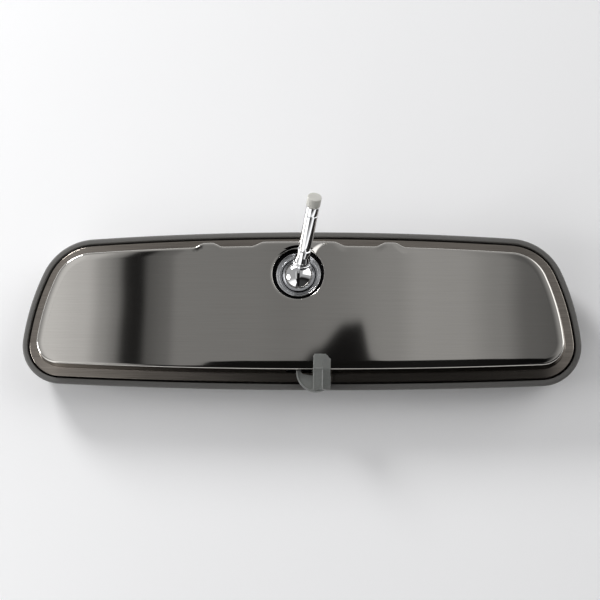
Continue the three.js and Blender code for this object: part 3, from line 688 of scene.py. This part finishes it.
def plateau_height(x, z):
    """The plateau's small departure from flat: a press leaves it a little dished near its four corners."""
    d = DISH
    low, high = HEAD_BOTTOM + d["margin"], HEAD_BOTTOM + HEAD_HEIGHT - d["margin"]
    across = limited((abs(x) - d["from"]) / d["over"])
    from_side = limited((z - low) / d["fade"]) * limited((high - z) / d["fade"])
    return -d["depth"] * across * from_side * hypot(d["least"], sin(z / d["wave"]))


def lattice_points():
    """A staggered grid over the plateau, clear of its edge and of the hole."""
    g = LATTICE
    limit = outline(g["edge"], SWELL["raise"])
    points = []
    for i in range(*g["columns"]):
        for j in range(*g["rows"]):
            stagger = g["pitch"] / 2 if j % 2 else 0
            x, z = i * g["pitch"] + stagger, j * g["pitch"] * g["row_pitch"] + g["first_row"]
            if inside(limit, (x, z)) and hypot(x, z) > SHELL["hole"] + g["hole"]:
                points.append((x, z))
    return points


def sheet_skin():
    """The pressed sheet's outer face: rings up to the plateau's edge, the hole's lip, and the plateau."""
    rings = []
    for inset, y in rounded(SHELL["section"], 7):
        share = limited((inset - SHELL["swell_from"]) / (SHELL["swell_to"] - SHELL["swell_from"]))
        lift = SWELL["raise"] * share * share * (3 - 2 * share)
        rings.append([Vector((x, y, z)) for x, z in outline(inset, lift)])
    made = skin(rings)
    inner = [(p.x, p.z) for p in rings[-1]]
    hole, top, width, steps = (SHELL[key] for key in ("hole", "plateau", "lip_width", "lip_steps"))
    lip = rounded([(hole, top - width, 0), (hole, top, SHELL["lip"]), (hole + width, top, 0)], 6)
    turn = [2 * pi * i / steps for i in range(steps)]
    lips = [[Vector((r * cos(a), y, r * sin(a))) for a in turn] for r, y in lip]
    around = [(p.x, p.z) for p in lips[-1]]
    points = [Vector(p) for p in inner + around + lattice_points()]
    count, ringed = len(inner), len(around)
    edges = [(i, (i + 1) % count) for i in range(count)]
    edges += [(count + i, count + (i + 1) % ringed) for i in range(ringed)]
    placed, _, faces, *_ = delaunay_2d_cdt(points, edges, [], 0, 1e-5)
    verts = [made.verts.new((p.x, top + plateau_height(p.x, p.y), p.y)) for p in placed]
    for face in faces:
        middle = sum((placed[i] for i in face), Vector((0, 0))) / 3
        if inside(inner, middle) and hypot(*middle) > hole + width - SHELL["overlap"]:
            made.faces.new([verts[i] for i in face])
    collar = skin(lips)
    swap = bpy.data.meshes.new("collar")
    collar.to_mesh(swap)
    collar.free()
    made.from_mesh(swap)
    bpy.data.meshes.remove(swap)
    return made


def inside(line, point):
    """Whether a point is inside a closed line of (x, z) points."""
    x, z = point
    crossed = False
    for (x0, z0), (x1, z1) in zip(line, line[1:] + line[:1]):
        if (z0 > z) != (z1 > z) and x < (x1 - x0) * (z - z0) / (z1 - z0) + x0:
            crossed = not crossed
    return crossed


def block(name, low, high):
    """A plain cutting block between two corners, in millimetres from the ball."""
    made = bmesh.new()
    bmesh.ops.create_cube(made, size=1)
    spread = Matrix.Diagonal([*(Vector(high) - Vector(low)), 1])
    made.transform(AT_HEAD @ Matrix.Translation((Vector(low) + Vector(high)) / 2) @ spread)
    mesh = bpy.data.meshes.new(name)
    made.to_mesh(mesh)
    made.free()
    return bpy.data.objects.new(name, mesh)


def pressed_back():
    """The sheet with its outside facing out, thickened inwards, and cut for the lever."""
    back = piece("pressed_back", sheet_skin(), AT_HEAD, STAINLESS, 60)
    if back.data.polygons[0].normal.dot(Vector((0, 0, -1))) < 0 and back.data.polygons[0].center.z < 0:
        back.data.flip_normals()
    thickness = back.modifiers.new("sheet", "SOLIDIFY")
    thickness.thickness, thickness.offset = SHELL["sheet"] * MM, -1
    thickness.use_even_offset = True
    cutters = []
    for cut in CUTS:
        low, high = (HEAD_BOTTOM + share for share in cut["above_bottom"])
        cutter = block("cut", (cut["x"][0], cut["y"][0], low), (cut["x"][1], cut["y"][1], high))
        bpy.context.scene.collection.objects.link(cutter)
        slot = back.modifiers.new("slot", "BOOLEAN")
        slot.operation, slot.object, slot.solver = "DIFFERENCE", cutter, "EXACT"
        cutters.append(cutter)
    finish_modifiers(back)
    for cutter in cutters:
        bpy.data.objects.remove(cutter)
    back.data.set_sharp_from_angle(angle=radians(35))
    return back


back = pressed_back()
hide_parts("back_shell")
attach(back, "case")
report(back)

# %% [markdown]
# ## Node trees for what repeats and what follows a path
#
# Two small Geometry Nodes trees do the repeated work. The first sweeps a section along a path, which is how
# the bezel's vinyl runs round the head. The second sets copies of one piece on a grid of places, which is how
# the rivets are laid out. Every size is a named input, set by its socket identifier.

# %% Node trees
def named_tree(name, inputs):
    """A tree with named inputs, and its input node."""
    tree = bpy.data.node_groups.new(name, "GeometryNodeTree")
    tree.interface.new_socket(name="Geometry", in_out="INPUT", socket_type="NodeSocketGeometry")
    for label, kind in inputs:
        tree.interface.new_socket(name=label, in_out="INPUT", socket_type="NodeSocket" + kind)
    tree.interface.new_socket(name="Geometry", in_out="OUTPUT", socket_type="NodeSocketGeometry")
    return tree, tree.nodes.new("NodeGroupInput")


def end_tree(tree, start, geometry):
    """Ends a tree with Realize Instances and Set Material."""
    real = add(tree, "GeometryNodeRealizeInstances", {0: geometry})
    inputs = {"Geometry": real.outputs[0], "Material": start.outputs["Material"]}
    dressed = add(tree, "GeometryNodeSetMaterial", inputs)
    tree.links.new(dressed.outputs[0], tree.nodes.new("NodeGroupOutput").inputs[0])


def sweep_tree():
    """A section swept along the path that the tree is run on."""
    inputs = [("Section", "Object"), ("Lean", "Rotation"), ("Material", "Material")]
    tree, start = named_tree("sweep_section", inputs)
    path = add(tree, "GeometryNodeMeshToCurve", {0: start.outputs["Geometry"]})
    upright = add(tree, "GeometryNodeSetCurveNormal", {0: path.outputs[0]})
    upright.mode = "Z_UP"
    source = add(tree, "GeometryNodeObjectInfo", {"Object": start.outputs["Section"]})
    section = add(tree, "GeometryNodeMeshToCurve", {0: source.outputs["Geometry"]})
    inputs = {"Curve": upright.outputs[0], "Profile Curve": section.outputs[0]}
    swept = add(tree, "GeometryNodeCurveToMesh", inputs)
    inputs = {"Geometry": swept.outputs[0], "Rotation": start.outputs["Lean"]}
    end_tree(tree, start, add(tree, "GeometryNodeTransform", inputs).outputs[0])
    return tree


def places_tree():
    """Four copies of a piece at the corners of a rectangle, each with a random turn about its own axis."""
    inputs = [
        ("Piece", "Object"), ("Across", "Float"), ("Up", "Float"), ("Middle", "Vector"),
        ("Stand", "Rotation"), ("Seed", "Int"), ("Material", "Material"),
    ]
    tree, start = named_tree("copies_on_a_grid", inputs)
    sides = {"Size X": start.outputs["Across"], "Size Y": start.outputs["Up"]}
    grid = add(tree, "GeometryNodeMeshGrid", {**sides, "Vertices X": 2, "Vertices Y": 2})
    points = add(tree, "GeometryNodeMeshToPoints", {0: grid.outputs[0]})
    source = add(tree, "GeometryNodeObjectInfo", {"Object": start.outputs["Piece"]})
    spin = add(tree, "FunctionNodeRandomValue", {"Seed": start.outputs["Seed"]}, data_type="FLOAT_VECTOR")
    spin.inputs[0].default_value, spin.inputs[1].default_value = (0, 0, 0), (0, 0, 2 * pi)
    turn = add(tree, "FunctionNodeEulerToRotation", {0: spin.outputs[0]})
    shape = source.outputs["Geometry"]
    inputs = {"Points": points.outputs[0], "Instance": shape, "Rotation": turn.outputs[0]}
    copies = add(tree, "GeometryNodeInstanceOnPoints", inputs)
    stand, middle = start.outputs["Stand"], start.outputs["Middle"]
    inputs = {"Geometry": copies.outputs[0], "Rotation": stand, "Translation": middle}
    end_tree(tree, start, add(tree, "GeometryNodeTransform", inputs).outputs[0])
    return tree


def from_tree(thing, tree, values):
    """Runs a tree on an object with its inputs set by identifier, and keeps the result as a plain mesh."""
    modifier = thing.modifiers.new(tree.name, "NODES")
    modifier.node_group = tree
    known = {item.name: item.identifier for item in tree.interface.items_tree if item.in_out == "INPUT"}
    for label, value in values.items():
        modifier[known[label]] = value
    finish_modifiers(thing)
    made = bmesh.new()
    made.from_mesh(thing.data)
    bmesh.ops.remove_doubles(made, verts=made.verts, dist=1e-7)
    bmesh.ops.recalc_face_normals(made, faces=made.faces)
    made.to_mesh(thing.data)
    made.free()
    for face in thing.data.polygons:
        face.use_smooth = True
    thing.data.set_sharp_from_angle(angle=radians(40))


def wire(name, points, closed=True):
    """An object that is only a closed line of points."""
    mesh = bpy.data.meshes.new(name)
    count = len(points)
    edges = [(i, (i + 1) % count) for i in range(count if closed else count - 1)]
    mesh.from_pydata([Vector(p) for p in points], edges, [])
    thing = bpy.data.objects.new(name, mesh)
    bpy.context.scene.collection.objects.link(thing)
    return thing


SWEEP, PLACES = sweep_tree(), places_tree()
print("trees:", [tree.name for tree in bpy.data.node_groups])

# %% [markdown]
# ## The bezel
#
# The section runs from a rounded lip beside the pressed flange, down the tapering side and round under the
# glass, then back up past the glass's seat and the ledge that the skirt stands on. The lip's corners are the
# only part that catches light, so they get the finest rounding.

# %% Bezel
# Corners are (inset from the outline, height along Y, radius).
BEZEL_SECTION = [
    (1.2, -0.6, 0), (0.0, -0.6, 1.1), (0.0, -2.6, 3.0), (3.6, -18.3, 0.8), (6.4, -18.3, 0.3),
    (6.4, -17.1, 0.25),
    (4.2, -17.1, 0.1), (4.2, -10.7, 0.1), (2.5, -10.7, 0.1), (2.5, -0.6, 0.45), (1.2, -0.6, 0),
]


def moulded_bezel():
    """The section swept round the outline, drawn flat and stood upright by the tree."""
    path = wire("vinyl_bezel", [(x * MM, -z * MM, 0) for x, z in outline(0)])
    section = wire("bezel_section", [(p.x * MM, -p.y * MM, 0) for p in rounded(BEZEL_SECTION, 7)[:-1]])
    lean = Matrix.Rotation(radians(-90), 3, "X").to_quaternion()
    from_tree(path, SWEEP, {"Section": section, "Lean": lean.to_euler(), "Material": VINYL})
    path.data.transform(Matrix.Translation(BALL))
    bpy.data.objects.remove(section)
    return path


bezel = moulded_bezel()
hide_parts("bezel")
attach(bezel, "case")
report(bezel)
lowest, highest = head_box("bezel")
print("CAD bezel", [round(v, 1) for v in highest - lowest])

# %% [markdown]
# ## Glass and silver
#
# The glass is a wedge, thicker at the top, and the silver is on its back. By day the silver shows the driver
# the road; by night the head tips and only the faint front face does. The silver is its own thin sheet.

# %% Glass and silver
GLASS_SHAPE = {
    "inset": 4.5, "front": -16.8, "top": -11.3, "bottom": -14.5, "bevel": 0.5, "coat": 0.3, "gap": 0.15,
    "coat_inset": 0.6,
}
low, high = OUTLINE_TOP - HEAD_HEIGHT + GLASS_SHAPE["inset"], OUTLINE_TOP - GLASS_SHAPE["inset"]


def glass_back(z):
    """The height along Y of the glass's back at z."""
    share = (z - low) / (high - low)
    return GLASS_SHAPE["bottom"] + (GLASS_SHAPE["top"] - GLASS_SHAPE["bottom"]) * share


def capped(rings):
    """A skin with its two ends closed by flat faces."""
    made = skin(rings)
    made.verts.ensure_lookup_table()
    count = len(rings[0])
    made.faces.new(made.verts[:count])
    made.faces.new(made.verts[-count:])
    return made


def wedge_glass():
    """The wedge with a bevel round its front and its back."""
    g = GLASS_SHAPE
    steps = [(g["bevel"], 0, None), (0, g["bevel"], None), (0, None, -g["bevel"]), (g["bevel"], None, 0)]
    rings = []
    for extra, over_front, under_back in steps:
        line = outline(g["inset"] + extra)
        ys = [g["front"] + over_front if under_back is None else glass_back(z) + under_back for _, z in line]
        rings.append([Vector((x, y, z)) for (x, z), y in zip(line, ys)])
    return piece("wedge_glass", capped(rings), AT_HEAD, GLASS, 20)


def silver_sheet():
    """The silver and its paint, a little smaller than the glass and just behind it."""
    g = GLASS_SHAPE
    line = outline(g["inset"] + g["coat_inset"])
    rings = [[Vector((x, glass_back(z) + g["gap"] + rise, z)) for x, z in line] for rise in (0, g["coat"])]
    return piece("silvered_back", capped(rings), AT_HEAD, SILVER, 20)


glass, silver = wedge_glass(), silver_sheet()
for thing, node, name in ((glass, "mirror_glass", "glass"), (silver, "mirror_coating", "silver")):
    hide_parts(node)
    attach(thing, "case")
    report(thing)

# %% [markdown]
# ## Ball stud and its sleeve
#
# The stud is one turned bar. Read from the ball outwards: a necked collar with two small beads, a taper down
# to the bar, a narrow groove, the long plain bar with one fine ring near its end, and a nylon sleeve.

# %% Ball stud
# Corners are (radius, distance from the ball's middle, rounding).
STUD = {"ball": 8.0, "neck_angle": 153, "ball_steps": 56}
STUD_SECTION = [
    (3.66, 7.15, 0.3), (3.75, 7.75, 0.15), (4.1, 8.15, 0.2), (4.1, 8.75, 0.2), (3.8, 8.95, 0.1),
    (3.95, 9.2, 0.15), (3.6, 9.7, 0.2), (3.6, 10.4, 0.4), (3.05, 12.8, 1.2), (3.0, 16.2, 0.15),
    (2.55, 16.5, 0.12), (2.55, 18.2, 0.12),
    (3.0, 18.5, 0.15), (3.0, 36.2, 0.08), (2.8, 36.35, 0.08), (2.8, 37.0, 0.08), (3.0, 37.15, 0.08),
    (3.0, 41.1, 0.12), (2.2, 41.25, 0.05), (2.2, 45.45, 0.15), (0.0, 45.45, 0),
]
SLEEVE_SECTION = [
    (0.0, 45.55, 0), (2.4, 45.55, 0.1), (2.4, 41.4, 0.1), (3.15, 41.4, 0.2), (3.15, 45.9, 0.35),
    (0.0, 45.9, 0),
]


def ball_stud():
    """The ball's arc from its pole to the neck, then the turned section."""
    steps, ball = STUD["ball_steps"], STUD["ball"]
    angles = [radians(STUD["neck_angle"] * i / steps) for i in range(steps + 1)]
    arc = [Vector((ball * sin(angle), -ball * cos(angle))) for angle in angles]
    neck = arc[-1][:] + (0,)
    return piece("chrome_ball_stud", lathe(arc + rounded([neck] + STUD_SECTION)), AT_STEM, CHROME, 30)


stud = ball_stud()
sleeve = piece("nylon_tip_sleeve", lathe(rounded(SLEEVE_SECTION, 5)), AT_STEM, TIP_NYLON, 40)
for thing, node, name in ((stud, "ball_stud", "chrome"), (sleeve, "stem_tip_sleeve", "tip_nylon")):
    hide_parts(node)
    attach(thing, "stem")
    report(thing)

# %% [markdown]
# ## Seat ring
#
# The ring that holds the ball has a rolled rim with one groove round it, then a cone down to the ball. Its
# foot spreads into a flange that the domed socket holds.

# %% Seat ring
RING_SECTION = [
    (12.2, -0.6, 0), (12.2, 0.7, 0.3), (10.2, 0.7, 0.5), (10.2, 4.2, 0.3), (9.7, 4.2, 0.2),
    (9.55, 3.45, 0.15), (9.25, 3.45, 0.1), (9.1, 3.95, 0.12), (8.75, 3.95, 0.15), (8.2, 3.05, 0.15),
    (7.82, 2.6, 0.15), (8.12, 1.2, 0),
    (8.2, 0.2, 0), (8.18, -0.6, 0), (12.2, -0.6, 0),
]
# The ring's material paints its flange and lower cone near black as painted shade.
ring = piece("rolled_seat_ring", lathe(rounded(RING_SECTION, 5), 128), AT_HEAD, RING_CHROME_WITH_PAINTED_SHADE, 30)
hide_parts("seat_ring")
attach(ring, "ring")
report(ring)

# %% [markdown]
# ## The lever
#
# The lever is drawn as a few overlapping solids: the hook with its raised rim, the riser and the finger pad
# with its sloping face. A fine remesh melts them into one skin, and a light smoothing gives the soft edges of
# a moulding. The hub behind the hook goes through the slot to the cam.

# %% Day and night lever
LEVER = {
    "x": -8.5, "z": -40.4, "back": 0.8, "face": 3.4, "hub": 3.4, "hub_back": -2.4, "pad_under": 6.4,
    "pad_face": 8.0, "sink": 0.3, "hub_steps": 32,
}
# The hook: a half round foot, then the notch, the shelf and the slope back to the hub.
HOOK = {
    "r": 8.8, "drop": 4.4, "left": -15.2, "steps": 48, "top": -3.4,
    "rim": 0.42, "rim_in": 0.5, "rim_top": -3.8,
    "shelf": -46.5, "notch": (-11.0, -7.2), "notch_top": -41, "slope": ((-2.6, -45.7), (-1.2, -43.8)),
}
PAD = {
    "left": -15.2, "right": -7.6, "flat_left": -11.9, "edge": 0.45, "top": -37.3, "bend": -44.0, "end": -52.9,
    "drop": 1.9, "crop": 2.2, "corners": (1.0, 0.8), "rows": 26, "columns": 20,
    "bead": 0.28, "ridge_sink": 0.06, "bend_sink": 0.1,
}
RISER = {"left": -14.4, "right": -9.0, "from": -52.4, "to": -48.9, "root": 0.2, "into_pad": 0.3}
MOULD = {"voxel": 0.13, "soften": 0.5, "passes": 4}


def hook_line():
    """The hook's outline as (x, z) points, from the top right, round its foot and back to the hub."""
    x, z, r, steps = LEVER["x"], LEVER["z"], HOOK["r"], HOOK["steps"]
    low = z - HOOK["drop"]
    tail = -pi + acos((x - HOOK["left"]) / r)
    turns = [tail * i / steps for i in range(steps + 1)]
    arc = [(x + r * cos(turn), low + r * sin(turn)) for turn in turns]
    (left, right), shelf, top = HOOK["notch"], HOOK["shelf"], HOOK["notch_top"]
    rest = [(HOOK["left"], shelf), (left, shelf), (left, top), (right, top), (right, shelf), *HOOK["slope"]]
    return [(x + r, z + HOOK["top"]), *arc, *rest], arc


def prism(made, line, low, high):
    """Adds a closed (x, z) line drawn out along Y between two heights, each a value or a function."""
    ends = []
    for level in (low, high):
        ends.append([made.verts.new((x, level(x, z) if callable(level) else level, z)) for x, z in line])
    for i in range(len(line)):
        j = (i + 1) % len(line)
        made.faces.new((ends[0][i], ends[0][j], ends[1][j], ends[1][i]))
    for end in ends:
        bmesh.ops.triangulate(made, faces=[made.faces.new(end)])


def pad_under(x, z):
    """The height of the pad's underside, which drops below its bend."""
    return LEVER["pad_under"] - PAD["drop"] * limited((PAD["bend"] - z) / (PAD["bend"] - PAD["end"]))


def pad_face(x, z):
    """The height of the pad's face, which slopes away left of its ridge."""
    thick = LEVER["pad_face"] - LEVER["pad_under"]
    slope = limited((PAD["flat_left"] - x) / (PAD["flat_left"] - PAD["left"]))
    return pad_under(x, z) + thick * (1 - slope * (1 - PAD["edge"]))


def bead(made, path, radius, sides=8):
    """Adds a round bead along a path of points."""
    rings = []
    for i, point in enumerate(path):
        along = (path[min(i + 1, len(path) - 1)] - path[max(i - 1, 0)]).normalized()
        across = along.cross(Vector((0, 1, 0))).normalized()
        over = across.cross(along)
        spin = [2 * pi * k / sides for k in range(sides)]
        rings.append([made.verts.new(point + (across * cos(a) + over * sin(a)) * radius) for a in spin])
    for row, following in zip(rings, rings[1:]):
        for k in range(sides):
            made.faces.new((row[k], row[(k + 1) % sides], following[(k + 1) % sides], following[k]))
    made.faces.new(rings[0])
    made.faces.new(rings[-1])


def add_hook(made):
    """The hook, the bead round its foot and the hub behind it."""
    line, foot = hook_line()
    prism(made, line, LEVER["back"], LEVER["face"])
    inner = HOOK["r"] - HOOK["rim_in"]
    low = LEVER["z"] - HOOK["drop"]
    rim = []
    for x, z in [(LEVER["x"] + HOOK["r"], LEVER["z"] + HOOK["rim_top"])] + foot:
        way = Vector((x - LEVER["x"], 0, min(0.0, z - low)))
        rim.append(Vector((LEVER["x"], LEVER["face"], max(z, low))) + way.normalized() * inner)
    bead(made, rim, HOOK["rim"])
    turn = [2 * pi * i / LEVER["hub_steps"] for i in range(LEVER["hub_steps"])]
    hub = [(LEVER["x"] + LEVER["hub"] * cos(a), LEVER["z"] + LEVER["hub"] * sin(a)) for a in turn]
    prism(made, hub, LEVER["hub_back"], LEVER["face"] - LEVER["sink"])


def add_pad(made):
    """The finger pad as a lattice of prisms inside its cropped outline, with beads along its two folds."""
    p = PAD
    near, far = p["corners"]
    crop = rounded([
        (p["right"], p["end"], 0), (p["right"], p["top"], near), (p["left"] + p["crop"], p["top"], far),
        (p["left"], p["top"] - p["crop"], far), (p["left"], p["end"], 0.0),
    ], 6)
    levels = [p["end"] + (p["top"] - p["end"]) * i / p["rows"] for i in range(p["rows"] + 1)]
    columns = [p["left"] + (p["right"] - p["left"]) * i / p["columns"] for i in range(p["columns"] + 1)]
    for a, b in zip(levels, levels[1:]):
        for c, d in zip(columns, columns[1:]):
            if inside([tuple(v) for v in crop], ((c + d) / 2, (a + b) / 2)):
                prism(made, [(c, a), (d, a), (d, b), (c, b)], pad_under, pad_face)
    at = p["flat_left"]
    ridge = [Vector((at, pad_face(at, z) - p["ridge_sink"], z)) for z in levels if z < p["bend"]]
    bead(made, ridge, p["bead"])
    bend = [Vector((x, pad_face(x, p["bend"]) - p["bend_sink"], p["bend"])) for x in columns if x > at]
    bead(made, bend, p["bead"])


def moulded_lever():
    """All the solids melted into one skin and softened."""
    made = bmesh.new()
    add_hook(made)
    r = RISER
    riser = [(r["left"], r["from"]), (r["right"], r["from"]), (r["right"], r["to"]), (r["left"], r["to"])]
    prism(made, riser, LEVER["back"] + r["root"], lambda x, z: pad_under(x, z) + r["into_pad"])
    add_pad(made)
    lever = piece("nylon_lever", made, AT_HEAD, LEVER_NYLON, 180)
    melt = lever.modifiers.new("melt", "REMESH")
    melt.mode, melt.voxel_size, melt.use_smooth_shade = "VOXEL", MOULD["voxel"] * MM, True
    soften = lever.modifiers.new("soften", "SMOOTH")
    soften.factor, soften.iterations = MOULD["soften"], MOULD["passes"]
    finish_modifiers(lever)
    lever.data.materials.clear()
    lever.data.materials.append(LEVER_NYLON)
    return lever


lever = moulded_lever()
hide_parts("day_night_lever")
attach(lever, "lever")
report(lever)

# %% [markdown]
# ## Socket rivets
#
# Four cold-headed rivets hold the socket to the carrier plate. One is turned, and the second tree sets it out
# four times, each with a random turn about its own axis.

# %% Socket rivets
RIVETS = {
    "across": 29.2, "up": 15.2, "seed": 3,
    "section": [
        (0, -1.9, 0), (1.2, -1.88, 0.6), (2.1, -1.1, 0.5), (2.1, -0.8, 0.08), (1.3, -0.8, 0.1),
        (1.3, 2.5, 0.08), (1.79, 2.5, 0.1), (1.75, 2.95, 0.3), (1.0, 3.1, 0.3), (0.45, 2.98, 0.2), (0, 2.96, 0),
    ],
}


def copies(name, layout, material):
    """Turns one piece and sets four of it on a rectangle about the ball, as one mesh."""
    made = lathe(rounded(layout["section"], 4), 40)
    made.transform(Matrix.Rotation(radians(90), 4, "X"))
    source = piece(name + "_source", made, Matrix.Scale(MM, 4), material)
    holder = wire(name, [(0, 0, 0)], False)
    values = {
        "Piece": source, "Across": layout["across"] * MM, "Up": layout["up"] * MM,
        "Middle": AT_HEAD @ Vector((0, 0, 0)), "Stand": Matrix.Rotation(radians(-90), 3, "X").to_euler(),
        "Seed": layout["seed"], "Material": material,
    }
    from_tree(holder, PLACES, values)
    bpy.data.objects.remove(source)
    return holder


rivets = copies("socket_rivets", RIVETS, RIVET_ZINC)
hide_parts(*[f"socket_rivet_{i}" for i in range(1, 5)])
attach(rivets, "carrier")
report(rivets)

# %% [markdown]
# ## Parts that keep their CAD shape
#
# The cup, the carrier, the spring and the small pressed parts inside are already the right shape. They keep
# their CAD mesh and get a real finish, except the carrier, whose near black is painted shade.

# %% Finishes for the inner parts
# The zinc carrier is painted near black as painted shade, so that nothing shines through the gap round the ball.
CARRIER_PAINTED_SHADE_BLACK = bright_metal(
    "zinc_carrier_painted_shade_black", "painted black as shade", "1b1b1d", "252527", 0.5, 400, 0.01,
)
INNER = {
    "friction_cup": (ACETAL, "acetal"), "socket_dome": (ZINC, "zinc"),
    "carrier_plate": (CARRIER_PAINTED_SHADE_BLACK, "zinc"),
    "leaf_spring": (SPRING_STEEL, "spring_steel"), "spring_rivet": (RIVET_ZINC, "rivet_zinc"),
    "hinge_bracket_left": (ZINC, "zinc"), "hinge_bracket_right": (ZINC, "zinc"),
    "hinge_pin_left": (RIVET_ZINC, "rivet_zinc"), "hinge_pin_right": (RIVET_ZINC, "rivet_zinc"),
    "lever_bracket": (ZINC, "zinc"), "lever_cam": (ACETAL, "acetal"),
    "lever_shaft": (RIVET_ZINC, "rivet_zinc"), "shaft_clip": (SPRING_STEEL, "spring_steel"),
    **{f"rubber_buffer_{i}": (RUBBER, "rubber") for i in range(1, 5)},
}
for node, (material, slot) in INNER.items():
    thing = frame["nodes"][node]
    thing.data.materials.clear()
    thing.data.materials.append(material)
print("inner parts finished:", len(INNER))
